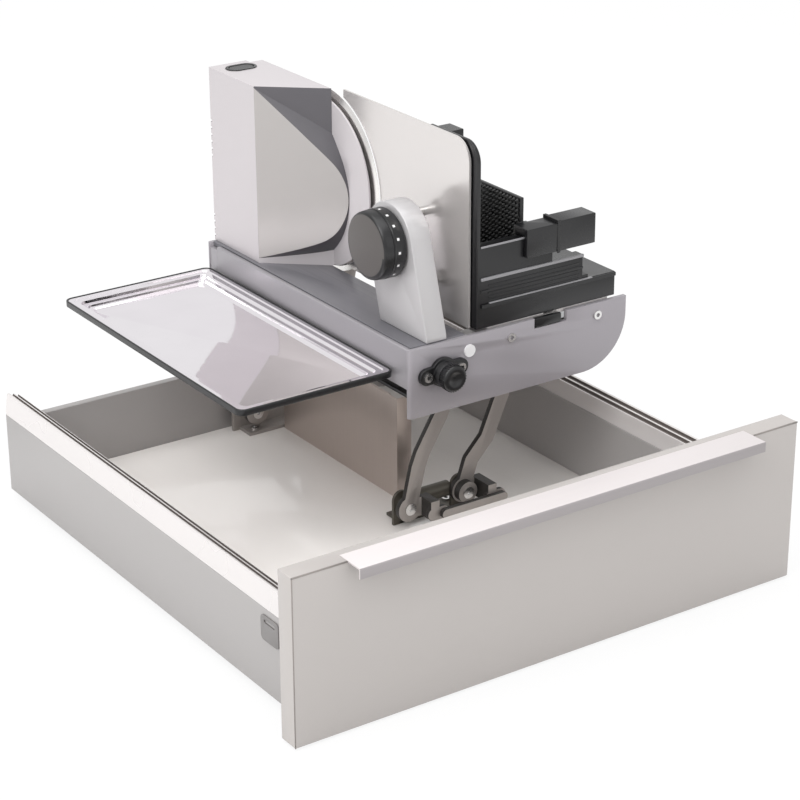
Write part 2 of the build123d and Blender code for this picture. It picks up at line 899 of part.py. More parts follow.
with BuildPart() as lock_knob:
    knob_back = base_front - lock_barrel - seat_gap
    with BuildSketch(at_y(knob_back)):
        with Locations((lock_x, lock_z)):
            Circle(lock_knob_r)
    extrude(amount=lock_knob_thick)
    fillet(lock_knob.edges().filter_by(GeomType.CIRCLE).group_by(Axis.Y)[0], 1.5)
    with BuildSketch(at_y(front_inner - seat_gap)):
        with Locations((lock_x, lock_z)):
            Circle(lock_pin_r)
    extrude(amount=front_inner - seat_gap - knob_back)
save(lock_knob, "lock_knob")

# Table latch in the notch of the front plate
with BuildPart() as table_latch:
    with Locations((
        latch_x + latch_length / 2,
        front_inner - plate_thick / 2 - 0.5,
        base_top - (latch_height + 1) / 2 + 0.5,
    )):
        Box(latch_length, plate_thick, latch_height)
    fillet(table_latch.edges().filter_by(Axis.Y), 1)
save(table_latch, "table_latch")

# Gland for the mains lead, in the rear plate
with BuildPart() as cable_gland:
    with BuildSketch(at_y(base_back)):
        with Locations((gland_x, base_bottom + gland_height)):
            Circle(gland_r)
            Circle(gland_r / 2, mode=Mode.SUBTRACT)
    extrude(amount=plate_thick + gland_nut)
    with BuildSketch(at_y(base_back + gland_flange)):
        with Locations((gland_x, base_bottom + gland_height)):
            Circle(gland_r + 2)
            Circle(gland_r / 2, mode=Mode.SUBTRACT)
    extrude(amount=gland_flange)
save(cable_gland, "cable_gland")

# Deck of the upper unit, with an ear at each end for the fold pin
deck_front = front_inner + side_play
deck_rear = rear_plate_y - side_play
with BuildPart() as head_plate:
    with Locations((
        deck_left + deck_width / 2,
        (deck_front + deck_rear) / 2,
        deck_top - deck_thick / 2,
    )):
        Box(deck_width, deck_rear - deck_front, deck_thick)
    for y in (deck_front + ear_thick, deck_rear):
        with BuildSketch(at_y(y)):
            with Locations((fold_x, fold_z)):
                Circle(ear_r)
            with BuildLine():
                Polyline(
                    (fold_x - ear_r, fold_z),
                    (fold_x - ear_r, deck_top),
                    (deck_left + deck_width, deck_top),
                    (fold_x + ear_r, fold_z),
                    close=True,
                )
            make_face()
            with Locations((fold_x, fold_z)):
                Circle(hinge_pin_r + pin_gap, mode=Mode.SUBTRACT)
        extrude(amount=ear_thick)
save(head_plate, "head_plate")

# Housing of the drive: a block with a slanted front, and a nose that stands out of it
nose_angle = math.atan2(nose_reach, housing_width)
nose_plane = Plane(
    origin=(housing_left, housing_front, deck_top),
    x_dir=(math.cos(nose_angle), -math.sin(nose_angle), 0),
    z_dir=(-math.sin(nose_angle), -math.cos(nose_angle), 0),
)
nose_width = math.hypot(nose_reach, housing_width)
nose_low = 5
nose_tip = 70
nose_set = 15
with BuildPart() as housing_body:
    with BuildSketch(Plane.XY.offset(deck_top)):
        with BuildLine():
            Polyline(
                (housing_left, housing_front),
                (housing_right, housing_front - top_reach),
                (housing_right, housing_rear),
                (housing_left, housing_rear),
                close=True,
            )
        make_face()
    extrude(amount=head_height)
    with BuildSketch(nose_plane):
        with BuildLine():
            Polyline((0, nose_low), (0, head_height), (nose_width * 0.85, nose_tip + 30))
            ThreePointArc(
                (nose_width * 0.85, nose_tip + 30),
                (nose_width, nose_tip),
                (nose_width * 0.8, nose_tip - 40),
            )
            Line((nose_width * 0.8, nose_tip - 40), (0, nose_low))
        make_face()
    extrude(amount=-nose_set, taper=-40)
    with Locations((
        (housing_left + housing_right) / 2,
        (housing_rear + base_front) / 2,
        deck_top + head_height / 2,
    )):
        Box(housing_width, base_length, head_height, mode=Mode.INTERSECT)

vent_rows = ((5, 4), (82, 6))
vent_pitch = 6.6
vent_length = 26
wall_slope = top_reach / housing_width
inner_left = housing_left + housing_wall
inner_front = housing_front + 3.8
with BuildPart() as motor_cover:
    add(housing_body.part)
    split(bisect_by=at_x(case_x), keep=Keep.BOTTOM)
    with BuildSketch(Plane.XY.offset(deck_top + housing_wall)):
        with BuildLine():
            Polyline(
                (inner_left, inner_front - housing_wall * wall_slope),
                (case_x, inner_front - (case_x - housing_left) * wall_slope),
                (case_x, housing_rear - housing_wall),
                (inner_left, housing_rear - housing_wall),
                close=True,
            )
        make_face()
    extrude(amount=head_height - 2 * housing_wall, mode=Mode.SUBTRACT)
    with BuildSketch(at_y(housing_rear)):
        for start, count in vent_rows:
            for row in range(count):
                with Locations((housing_left + vent_length / 2 - 3, deck_top + start + row * vent_pitch)):
                    SlotOverall(vent_length, 2.4)
    extrude(amount=housing_wall, mode=Mode.SUBTRACT)
    with BuildSketch(Plane.XY.offset(head_top)):
        with Locations((switch_x, switch_y)):
            SlotOverall(switch_length + switch_margin, switch_width + switch_margin)
    extrude(amount=-housing_wall, mode=Mode.SUBTRACT)
save(motor_cover, "motor_cover")

# Gear case: recesses for the blade gear and the pinion, open towards the blade
gear_pitch_r = gear_module * gear_teeth / 2
pinion_pitch_r = gear_module * pinion_teeth / 2
centre_distance = gear_pitch_r + pinion_pitch_r + gear_backlash
motor_y = axle_y + math.sqrt(centre_distance**2 - motor_rise**2)
motor_z = axle_z + motor_rise
recess_depth = gear_thick + 1
with BuildPart() as gear_housing:
    add(housing_body.part)
    split(bisect_by=at_x(case_x), keep=Keep.TOP)
    split(bisect_by=at_y(case_rear), keep=Keep.TOP)
    with BuildSketch(at_x(housing_right - recess_depth)):
        with Locations((axle_y, axle_z)):
            Circle(gear_pitch_r + gear_module + 1)
        with Locations((motor_y, motor_z)):
            Circle(pinion_pitch_r + gear_module + 1)
    extrude(amount=recess_depth, mode=Mode.SUBTRACT)
    with BuildSketch(at_x(case_x)):
        with Locations((motor_y, motor_z)):
            Circle(motor_shaft_r + 0.5)
    extrude(amount=case_thick, mode=Mode.SUBTRACT)
    with BuildSketch(at_x(case_x + axle_seat)):
        with Locations((axle_y, axle_z)):
            Circle(axle_r)
    extrude(amount=case_thick, mode=Mode.SUBTRACT)
save(gear_housing, "gear_housing")

# Round plate behind the blade
with BuildPart() as blade_guard:
    with BuildSketch(at_x(housing_right)):
        with Locations((axle_y, axle_z)):
            Circle(guard_disc_r)
        with Locations((axle_y, deck_top + 1 - guard_disc_r)):
            Rectangle(2 * guard_disc_r, 2 * guard_disc_r, mode=Mode.SUBTRACT)
        with Locations((axle_y, axle_z)):
            Circle(guard_disc_hole, mode=Mode.SUBTRACT)
    extrude(amount=guard_disc_thick)
save(blade_guard, "blade_guard")

with BuildPart() as blade_axle:
    with BuildSketch(at_x(case_x + axle_seat)):
        with Locations((axle_y, axle_z)):
            Circle(axle_r)
    extrude(amount=blade_front - 0.5 - case_x - axle_seat)
save(blade_axle, "blade_axle")

# Motor against the left of the case, its shaft in a bore
with BuildPart() as motor_can:
    with BuildSketch(at_x(case_x - motor_length)):
        with Locations((motor_y, motor_z)):
            Circle(motor_r)
    extrude(amount=motor_length)
    with BuildSketch(at_x(case_x - motor_bore)):
        with Locations((motor_y, motor_z)):
            Circle(motor_shaft_r + pin_gap)
    extrude(amount=motor_bore, mode=Mode.SUBTRACT)
    fillet(motor_can.edges().filter_by(GeomType.CIRCLE).group_by(Axis.X)[0], 2)
save(motor_can, "motor_can")

with BuildPart() as control_board:
    with Locations((inner_left + 6, housing_rear - 30, deck_top + 30)):
        Box(1.6, 46, 44)
    with Locations((inner_left + 9.8, housing_rear - 40, deck_top + 34)):
        Box(6, 14, 20)
    with Locations((inner_left + 9.3, housing_rear - 20, deck_top + 22)):
        Box(5, 10, 10)
    with Locations(
        (inner_left + 2.6, housing_rear - 48, deck_top + 14),
        (inner_left + 2.6, housing_rear - 12, deck_top + 46),
    ):
        Box(5.2, 5, 5)
save(control_board, "control_board")


def gear_outline(teeth, centre, turn):
    """Points of a gear's outline: four to each straight-sided tooth, from the module."""
    pitch_r = gear_module * teeth / 2
    root_r = pitch_r - 1.2 * gear_module
    tip_r = pitch_r + 0.8 * gear_module
    points = []
    for tooth in range(teeth):
        corners = ((root_r, -tooth_root), (tip_r, -tooth_tip), (tip_r, tooth_tip), (root_r, tooth_root))
        for radius, share in corners:
            angle = turn + (tooth + share) * 2 * math.pi / teeth
            points.append((centre[0] + radius * math.cos(angle), centre[1] + radius * math.sin(angle)))
    return points


mesh_angle = math.atan2(motor_z - axle_z, motor_y - axle_y)
hub_back = housing_right - gear_thick - 0.5
with BuildPart() as blade_gear:
    with BuildSketch(at_x(hub_back)):
        with BuildLine():
            Polyline(*gear_outline(gear_teeth, (axle_y, axle_z), mesh_angle), close=True)
        make_face()
    extrude(amount=gear_thick)
    with BuildSketch(at_x(housing_right - 0.5)):
        with Locations((axle_y, axle_z)):
            Circle(blade_hub_r)
    extrude(amount=blade_back - housing_right + 0.5)
    with BuildSketch(at_x(hub_back)):
        with Locations((axle_y, axle_z)):
            Circle(axle_r + pin_gap)
    extrude(amount=blade_back - hub_back, mode=Mode.SUBTRACT)
    with BuildSketch(at_x(blade_back - hub_screw_depth)):
        with Locations((axle_y, axle_z)):
            with PolarLocations(screw_circle_r, blade_screw_count):
                Circle(screw_r)
    extrude(amount=hub_screw_depth, mode=Mode.SUBTRACT)
save(blade_gear, "blade_gear")

with BuildPart() as motor_pinion:
    with BuildSketch(at_x(hub_back)):
        pinion_turn = mesh_angle + math.pi + math.pi / pinion_teeth
        with BuildLine():
            Polyline(*gear_outline(pinion_teeth, (motor_y, motor_z), pinion_turn), close=True)
        make_face()
    extrude(amount=gear_thick)
    with BuildSketch(at_x(case_x - motor_bore + 1)):
        with Locations((motor_y, motor_z)):
            Circle(motor_shaft_r)
    extrude(amount=hub_back - case_x + motor_bore - 1)
save(motor_pinion, "motor_pinion")

# Blade: flat towards the food, bevelled to its edge, on a raised hub
with BuildPart() as blade:
    with BuildSketch(Plane.XY.offset(axle_z)):
        with BuildLine():
            Polyline(
                (blade_back, axle_y + axle_r + pin_gap),
                (blade_back, axle_y + blade_hub_r),
                (blade_front - blade_thick, axle_y + blade_hub_r + 4),
                (blade_front - blade_thick, axle_y + blade_r - blade_bevel),
                (blade_front - 0.15, axle_y + blade_r),
                (blade_front, axle_y + blade_r),
                (blade_front, axle_y + axle_r + pin_gap),
                close=True,
            )
        make_face()
    revolve(axis=Axis((0, axle_y, axle_z), (1, 0, 0)))
    with BuildSketch(at_x(blade_back)):
        with Locations((axle_y, axle_z)):
            with PolarLocations(screw_circle_r, blade_screw_count):
                Circle(screw_r)
    extrude(amount=blade_hub, mode=Mode.SUBTRACT)
    with BuildSketch(at_x(blade_front - screw_r)):
        with Locations((axle_y, axle_z)):
            with PolarLocations(screw_circle_r, blade_screw_count):
                Circle(2 * screw_r)
    extrude(amount=screw_r, mode=Mode.SUBTRACT)
save(blade, "blade")

with BuildPart() as blade_screws:
    with BuildSketch(at_x(blade_back - hub_screw_depth)):
        with Locations((axle_y, axle_z)):
            with PolarLocations(screw_circle_r, blade_screw_count):
                Circle(screw_r)
    extrude(amount=blade_hub + hub_screw_depth - screw_r)
    with BuildSketch(at_x(blade_front - screw_r)):
        with Locations((axle_y, axle_z)):
            with PolarLocations(screw_circle_r, blade_screw_count):
                Circle(2 * screw_r)
                Rectangle(0.8, 3 * screw_r, mode=Mode.SUBTRACT)
    extrude(amount=screw_r)
save(blade_screws, "blade_screws")

# Leg that carries the knob and the guide rods of the stop plate
rod_points = [(knob_y + along, knob_z + above) for along, above in (rod_high, rod_low)]
with BuildPart() as knob_arm:
    with BuildSketch(at_x(leg_left)):
        with Locations((knob_y, knob_z)):
            Circle(leg_r)
        with Locations((leg_y + leg_foot / 2, deck_top + 2)):
            Rectangle(leg_foot, 4)
        make_hull()
    extrude(amount=leg_thick)
    with BuildSketch(at_x(leg_right)):
        with Locations(*rod_points):
            Circle(rod_boss_r)
    extrude(amount=stop_x - stop_travel - seat_gap - leg_right)
    with BuildSketch(at_x(leg_left + 2)):
        with Locations(*rod_points):
            Circle(rod_r + rod_gap)
    extrude(amount=stop_x, mode=Mode.SUBTRACT)
    with BuildSketch(at_x(leg_left)):
        with Locations((knob_y, knob_z)):
            Circle(knob_shaft_r + pin_gap)
    extrude(amount=knob_shaft_length + seat_gap, mode=Mode.SUBTRACT)
save(knob_arm, "knob_arm")

with BuildPart() as stop_plate:
    with BuildSketch(at_x(stop_x)) as outline:
        with Locations((stop_y + stop_length / 2, deck_top + 1 + (head_height - 1) / 2)):
            Rectangle(stop_length, head_height - 1)
        fillet(outline.vertices().group_by(Axis.X)[0].sort_by(Axis.Y)[-1], stop_corner)
        with Locations((axle_y, axle_z)):
            Circle(blade_r + stop_arc_gap, mode=Mode.SUBTRACT)
    extrude(amount=stop_thick)
save(stop_plate, "stop_plate")

with BuildPart() as stop_guide_rods:
    rod_start = leg_right - rod_grip
    with BuildSketch(at_x(rod_start)):
        with Locations(*rod_points):
            Circle(rod_r)
    extrude(amount=stop_x - rod_start)
save(stop_guide_rods, "stop_guide_rods")

with BuildPart() as thickness_knob:
    with BuildSketch(at_x(leg_left - seat_gap - knob_thick)):
        with Locations((knob_y, knob_z)):
            Circle(knob_r)
    extrude(amount=knob_thick)
    rims = thickness_knob.edges().filter_by(GeomType.CIRCLE)
    chamfer(rims.group_by(Axis.X)[0], 1.5)
    with BuildSketch(at_x(leg_left - seat_gap)):
        with Locations((knob_y, knob_z)):
            Circle(knob_shaft_r)
    extrude(amount=knob_shaft_length)
save(thickness_knob, "thickness_knob")

# Switch: fixed ring in the top of the cover, and the button in it
with BuildPart() as switch_ring:
    with BuildSketch(Plane.XY.offset(head_top - housing_wall)):
        with Locations((switch_x, switch_y)):
            SlotOverall(switch_length + switch_margin, switch_width + switch_margin)
            SlotOverall(switch_length + 2 * seat_gap, switch_width + 2 * seat_gap, mode=Mode.SUBTRACT)
    extrude(amount=housing_wall + 0.8)
save(switch_ring, "switch_ring")

with BuildPart() as switch_button:
    with BuildSketch(Plane.XY.offset(head_top - housing_wall)):
        with Locations((switch_x, switch_y)):
            SlotOverall(switch_length, switch_width)
    extrude(amount=housing_wall + 0.4)
    top_rim = switch_button.edges().group_by(Axis.Z)[-1]
    chamfer(top_rim, 0.5)
save(switch_button, "switch_button")

# Guide of the table: a plate with a groove, on two side strips
guide_y = front_inner + guide_play
guide_depth = rear_plate_y - front_inner - 2 * guide_play
guide_middle = (guide_x + guide_width / 2, guide_y + guide_depth / 2)
with BuildPart() as carriage_guide:
    with Locations((*guide_middle, guide_top - guide_thick / 2)):
        Box(guide_width, guide_depth, guide_thick)
    with Locations(
        (guide_x + 2, guide_middle[1], guide_top - guide_height / 2),
        (guide_x + guide_width - 2, guide_middle[1], guide_top - guide_height / 2),
    ):
        Box(4, guide_depth, guide_height)
    with Locations((*guide_middle, guide_top - groove_depth / 2)):
        Box(groove_width, guide_depth, groove_depth, mode=Mode.SUBTRACT)
save(carriage_guide, "carriage_guide")

# Carriage: hollow floor with a rib in the groove, stepped back wall and thumb guard
low_wall_top = carriage_top + low_wall_height
high_wall_top = carriage_top + high_wall_height
with BuildPart() as carriage:
    with Locations((
        carriage_x + carriage_width / 2,
        carriage_y + carriage_depth / 2,
        carriage_bottom + carriage_floor / 2,
    )):
        Box(carriage_width, carriage_depth, carriage_floor)
    with Locations((
        carriage_x + carriage_width / 2,
        carriage_y + carriage_depth / 2,
        carriage_bottom + (carriage_floor - carriage_wall) / 2,
    )):
        Box(
            carriage_width - 2 * carriage_wall,
            carriage_depth - 2 * carriage_wall,
            carriage_floor - carriage_wall,
            mode=Mode.SUBTRACT,
        )
    rib_low = guide_top - groove_depth + seat_gap
    with Locations((
        guide_middle[0],
        carriage_y + carriage_depth / 2,
        (rib_low + carriage_top) / 2,
    )):
        Box(groove_width - 2 * seat_gap, carriage_depth - 4 * carriage_wall, carriage_top - rib_low)
    with BuildSketch(at_y(carriage_y + back_wall_thick)):
        with BuildLine():
            Polyline(
                (wall_x, carriage_top),
                (wall_x, high_wall_top),
                (wall_x + high_wall_width, high_wall_top),
                (wall_x + high_wall_width, low_wall_top),
                (wall_x + low_wall_width, low_wall_top),
                (wall_x + low_wall_width, carriage_top),
                close=True,
            )
        make_face()
    extrude(amount=back_wall_thick)
    with BuildSketch(at_x(guard_x)) as guard:
        with Locations((carriage_y + guard_depth / 2, carriage_bottom + guard_height / 2)):
            Rectangle(guard_depth, guard_height)
        fillet(guard.vertices().group_by(Axis.X)[0].sort_by(Axis.Y)[-1], stop_corner - 2)
    extrude(amount=guard_thick)
    with Locations((wall_x + 8, carriage_y + guard_depth - 12, carriage_bottom + guard_height - 6)):
        Box(16, 20, 8)
    with Locations((wall_x + 1, carriage_y + guard_depth / 2, carriage_bottom + carriage_floor / 2)):
        Box(3, guard_depth, carriage_floor)
save(carriage, "carriage")

# Pusher: a saddle and a grip with a slot over the high wall, and a plate behind
saddle_x = wall_x + pusher_inset
saddle_low = high_wall_top - pusher_skirt
saddle_top = high_wall_top + pusher_gap + pusher_roof
saddle_front = carriage_y - pusher_gap - pusher_wall
saddle_back = carriage_y + back_wall_thick + pusher_gap + pusher_wall
saddle_mid = (saddle_front + saddle_back) / 2
grip_top = saddle_top + 1.7
slot_top = high_wall_top + pusher_gap
plate_x = saddle_x + pusher_plate_inset
plate_low = carriage_top + pusher_plate_lift
with BuildPart() as pusher:
    for start, length, top in (
        (saddle_x, pusher_saddle, saddle_top),
        (saddle_x + pusher_saddle, pusher_reach, grip_top),
    ):
        with Locations((start + length / 2, saddle_mid, (saddle_low + top) / 2)):
            Box(length, saddle_back - saddle_front, top - saddle_low)
    with BuildSketch(at_x(saddle_x)):
        with Locations((saddle_mid, (saddle_low + slot_top) / 2)):
            Rectangle(back_wall_thick + 2 * pusher_gap, slot_top - saddle_low)
    extrude(amount=pusher_saddle + pusher_reach, mode=Mode.SUBTRACT)
    with Locations((
        plate_x + pusher_plate / 2,
        saddle_back + pusher_plate_depth / 2,
        plate_low + pusher_plate_height / 2,
    )):
        Box(pusher_plate, pusher_plate_depth, pusher_plate_height)
    with Locations((plate_x + pusher_plate, saddle_back, (saddle_low + saddle_top) / 2)):
        Box(2 * pusher_plate, pusher_wall, saddle_top - saddle_low)
save(pusher, "pusher")

# Tray: a sheet pan with a flange, a tongue that hooks under the rail, and a black rim
tray_x = (tray_left + tray_right) / 2
tray_mid_y = tray_y + tray_length / 2
pan_width = tray_width - 2 * (tray_rim + tray_flange)
pan_length = tray_length - 2 * (tray_rim + tray_flange)
with BuildPart() as slice_tray:
    with BuildSketch(Plane.XY.offset(tray_bottom)):
        with Locations((tray_x, tray_mid_y)):
            RectangleRounded(pan_width, pan_length, 4)
    extrude(amount=tray_depth)
    with BuildSketch(Plane.XY.offset(tray_top - tray_sheet)):
        with Locations((tray_x, tray_mid_y)):
            RectangleRounded(tray_width - 2 * tray_rim, tray_length - 2 * tray_rim, tray_corner_r - tray_rim)
    extrude(amount=tray_sheet)
    with BuildSketch(Plane.XY.offset(tray_bottom + tray_sheet)):
        with Locations((tray_x, tray_mid_y)):
            RectangleRounded(pan_width - 2 * tray_sheet, pan_length - 2 * tray_sheet, 3)
    extrude(amount=tray_depth, mode=Mode.SUBTRACT)
save(slice_tray, "slice_tray")

with BuildPart() as tray_frame:
    with BuildSketch(Plane.XY.offset(tray_top - tray_rim_depth)):
        with Locations((tray_x, tray_mid_y)):
            RectangleRounded(tray_width, tray_length, tray_corner_r)
            RectangleRounded(
                tray_width - 2 * tray_rim,
                tray_length - 2 * tray_rim,
                tray_corner_r - tray_rim,
                mode=Mode.SUBTRACT,
            )
    extrude(amount=tray_rim_depth + 0.5)
    with BuildSketch(Plane.XY.offset(tray_top - tray_rim_depth)):
        with Locations((tray_x, tray_mid_y)):
            RectangleRounded(tray_width, tray_length, tray_corner_r)
            RectangleRounded(pan_width + 2, pan_length + 2, 5, mode=Mode.SUBTRACT)
    extrude(amount=tray_rim_depth - tray_sheet)
    with Locations((
        tray_right - tray_rim / 2,
        tray_mid_y,
        (tray_top - tray_sheet + tongue_z - tongue_sheet) / 2,
    )):
        Box(tray_rim, tray_length - 2 * tongue_setback, tray_top - tray_sheet - tongue_z + tongue_sheet)
    with Locations(((tray_right + base_left + tongue_length - tray_rim) / 2, tray_mid_y, tongue_z - tongue_sheet / 2)):
        Box(base_left + tongue_length - tray_right + tray_rim, tray_length - 2 * tongue_setback, tongue_sheet)
save(tray_frame, "tray_frame")
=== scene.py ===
import json
import math

import bmesh
import bpy
from mathutils import Matrix, Vector


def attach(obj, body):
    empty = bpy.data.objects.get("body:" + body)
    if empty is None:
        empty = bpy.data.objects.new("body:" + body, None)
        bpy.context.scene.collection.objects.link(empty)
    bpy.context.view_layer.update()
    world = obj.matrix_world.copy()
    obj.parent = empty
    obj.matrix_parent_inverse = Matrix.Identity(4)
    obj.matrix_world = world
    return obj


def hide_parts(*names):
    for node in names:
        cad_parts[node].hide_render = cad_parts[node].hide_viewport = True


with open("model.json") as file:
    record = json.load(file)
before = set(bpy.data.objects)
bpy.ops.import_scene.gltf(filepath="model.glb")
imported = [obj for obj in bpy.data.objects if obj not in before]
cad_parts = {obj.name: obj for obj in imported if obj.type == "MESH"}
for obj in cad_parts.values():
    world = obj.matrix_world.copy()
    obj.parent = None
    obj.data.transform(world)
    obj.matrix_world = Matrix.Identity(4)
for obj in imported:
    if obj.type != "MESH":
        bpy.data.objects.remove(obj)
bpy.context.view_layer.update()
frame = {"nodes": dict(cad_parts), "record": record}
print("frame loaded:", len(frame["nodes"]), "nodes")

slotOf = {part["node"]: part["material_slot"] for part in frame["record"]["subparts"]}
bodyOf = {node: body for body, nodes in frame["record"]["behaviour"]["bodies"].items() for node in nodes}


class Sock:
    def __init__(self, tree, out):
        self.tree, self.out = tree, out

    def maths(self, kind, first, second=0.0):
        made = self.tree.nodes.new("ShaderNodeMath")
        made.operation = kind
        for place, value in zip(made.inputs, (first, second)):
            if isinstance(value, Sock):
                self.tree.links.new(value.out, place)
            else:
                place.default_value = value
        return Sock(self.tree, made.outputs[0])

    def __add__(self, other):
        return self.maths("ADD", self, other)

    def __radd__(self, other):
        return self.maths("ADD", other, self)

    def __sub__(self, other):
        return self.maths("SUBTRACT", self, other)

    def __rsub__(self, other):
        return self.maths("SUBTRACT", other, self)

    def __mul__(self, other):
        return self.maths("MULTIPLY", self, other)

    def __rmul__(self, other):
        return self.maths("MULTIPLY", other, self)

    def __truediv__(self, other):
        return self.maths("DIVIDE", self, other)

    def __rtruediv__(self, other):
        return self.maths("DIVIDE", other, self)


class Tree:
    def __init__(self, tree):
        self.tree = tree

    def node(self, kind, settings=None, values=None, out=0):
        made = self.tree.nodes.new(kind)
        for key, value in (settings or {}).items():
            setattr(made, key, value)
        for key, value in (values or {}).items():
            if isinstance(value, Sock):
                self.tree.links.new(value.out, made.inputs[key])
            else:
                made.inputs[key].default_value = value
        return Sock(self.tree, made.outputs[out]) if made.outputs else made

    def mix(self, share, low, high):
        values = {"Factor": share, 6: low, 7: high}
        return self.node("ShaderNodeMix", {"data_type": "RGBA"}, values, out=2)


def tint(red, green, blue):
    linear = [((value / 255 + 0.055) / 1.055) ** 2.4 for value in (red, green, blue)]
    return (*linear, 1.0)


def shade(colour, factor):
    return (*[min(1.0, channel * factor) for channel in colour[:3]], 1.0)


class Finish(Tree):
    def __init__(self, name):
        self.material = bpy.data.materials.new(name)
        self.material.use_nodes = True
        super().__init__(self.material.node_tree)
        self.tree.nodes.clear()
        self.place = self.node("ShaderNodeTexCoord", out="Object")

    def noise(self, scale, detail=2.0, stretch=None, rough=0.5):
        place = self.place
        if stretch:
            place = self.node("ShaderNodeVectorMath", {"operation": "MULTIPLY"}, {0: place, 1: stretch})
        values = {"Vector": place, "Scale": scale, "Detail": detail, "Roughness": rough}
        return self.node("ShaderNodeTexNoise", None, values)

    def bump(self, height, strength, distance):
        values = {"Height": height, "Strength": strength, "Distance": distance}
        return self.node("ShaderNodeBump", None, values)

    def close(self, colour, rough, metal, coat, normal):
        values = {"Base Color": colour, "Roughness": rough, "Metallic": metal, "Coat Weight": coat, "Normal": normal}
        surface = self.node("ShaderNodeBsdfPrincipled", None, values)
        self.node("ShaderNodeOutputMaterial", None, {"Surface": surface})
        return self.material


def painted(name, colour, rough, metal, fleck, peel):
    made = Finish(name)
    broad = made.noise(9.0, 3.0)
    fine = made.noise(1400.0, 2.0)
    shift = made.node("ShaderNodeMath", {"operation": "ADD"}, {0: broad * 0.6, 1: fine * 0.4})
    tone = made.mix(shift, shade(colour, 1 - fleck), shade(colour, 1 + fleck))
    skin = made.noise(520.0, 1.0)
    return made.close(tone, rough + (broad - 0.5) * 0.12, metal, 0.0, made.bump(skin, peel, 0.0001))


def brushed(name, colour, along, rough=0.32, metal=1.0, streak=0.16, scale=900.0):
    made = Finish(name)
    stretch = [1.0, 1.0, 1.0]
    stretch["xyz".index(along)] = 0.012
    lines = made.noise(scale, 3.0, stretch)
    cloud = made.noise(7.0, 3.0)
    share = lines * 0.7 + cloud * 0.3
    tone = made.mix(share, shade(colour, 1 - streak), shade(colour, 1 + streak))
    gloss = rough + (lines - 0.5) * 0.25 + (cloud - 0.5) * 0.1
    return made.close(tone, gloss, metal, 0.0, made.bump(lines, 0.25, 0.00008))


def moulded(name, colour, rough=0.48, grain=0.35, scale=1500.0, fleck=0.14):
    made = Finish(name)
    skin = made.noise(scale, 2.0)
    wear = made.noise(11.0, 3.0)
    tone = made.mix(wear, shade(colour, 1 - fleck), shade(colour, 1 + fleck))
    gloss = rough + (wear - 0.5) * 0.14 + (skin - 0.5) * 0.1
    return made.close(tone, gloss, 0.0, 0.0, made.bump(skin, grain, 0.00012))


def polished(name, colour, rough=0.06, metal=1.0, smudge=0.12):
    made = Finish(name)
    trace = made.noise(24.0, 4.0)
    wipe = made.noise(60.0, 2.0, (1.0, 0.2, 1.0))
    tone = made.mix(trace, shade(colour, 0.96), shade(colour, 1.04))
    gloss = rough + trace * trace * smudge + (wipe - 0.5) * 0.03
    return made.close(tone, gloss, metal, 0.0, made.bump(wipe, 0.04, 0.0001))


def board(name, colour, rough=0.38, cloud=0.05, coat=0.15):
    made = Finish(name)
    streaks = made.noise(13.0, 5.0, (1.0, 0.3, 1.0), 0.62)
    grain = made.noise(700.0, 2.0, (1.0, 0.15, 1.0))
    tone = made.mix(streaks, shade(colour, 1 - cloud), shade(colour, 1 + cloud))
    gloss = rough + (streaks - 0.5) * 0.15
    return made.close(tone, gloss, 0.0, coat, made.bump(grain, 0.08, 0.0001))


finishes = {
    "zinc_steel": brushed("zincSteel", (0.62, 0.63, 0.64, 1), "y", 0.38, 0.9),
    "wall_sheet": painted("wallSheet", tint(162, 159, 158), 0.36, 0.25, 0.03, 0.06),
    "rail_alu": painted("railAluminium", tint(214, 210, 209), 0.28, 0.35, 0.03, 0.04),
    "grey_plastic": moulded("greyPlastic", tint(120, 117, 116), 0.45, 0.2),
    "front_lacquer": board("frontLacquer", tint(174, 169, 166), 0.42, 0.02, 0.1),
    "grip_metal": brushed("gripMetal", tint(206, 200, 200), "x", 0.45, 0.1, 0.03),
    "white_board": board("whiteBoard", tint(250, 246, 242), 0.22, 0.03, 0.5),
    "stainless": brushed("stainlessUpright", tint(196, 184, 177), "z", 0.34, 0.7, 0.1),
    "arm_metal": painted("armPaint", tint(158, 152, 148), 0.4, 0.4, 0.05, 0.08),
    "base_paint": painted("basePaint", tint(156, 152, 157), 0.38, 0.3, 0.04, 0.1),
    "black_plastic": moulded("blackPlastic", tint(18, 18, 20), 0.3, 0.12),
    "screw_steel": polished("screwSteel", tint(214, 213, 212), 0.2, 0.95, 0.1),
    "white_cap": moulded("whiteCap", tint(226, 225, 226), 0.3, 0.1, 900.0, 0.02),
    "housing_paint": painted("housingPaint", tint(190, 185, 187), 0.36, 0.2, 0.03, 0.08),
    "motor_steel": brushed("motorSteel", (0.5, 0.5, 0.51, 1), "x", 0.35, 0.95),
    "board_green": board("circuitGreen", (0.02, 0.16, 0.07, 1), 0.4, 0.2, 0.3),
    "blade_steel": polished("bladeSteel", tint(226, 224, 222), 0.16, 0.95, 0.1),
    "gear_plastic": moulded("gearPlastic", (0.72, 0.71, 0.66, 1), 0.42, 0.1),
    "pinion_brass": brushed("pinionBrass", (0.66, 0.5, 0.23, 1), "x", 0.3, 0.95),
    "mirror_steel": polished("mirrorSteel", tint(238, 234, 238), 0.05, 1.0, 0.05),
}
for node, piece in frame["nodes"].items():
    if not piece.data.materials:
        piece.data.materials.append(None)
    for place in piece.material_slots:
        place.material = finishes[slotOf[node]]
print("finishes made:", len(finishes))


def keep(piece, body, replaced=()):
    if replaced:
        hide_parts(*replaced)
    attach(piece, body)
    return piece


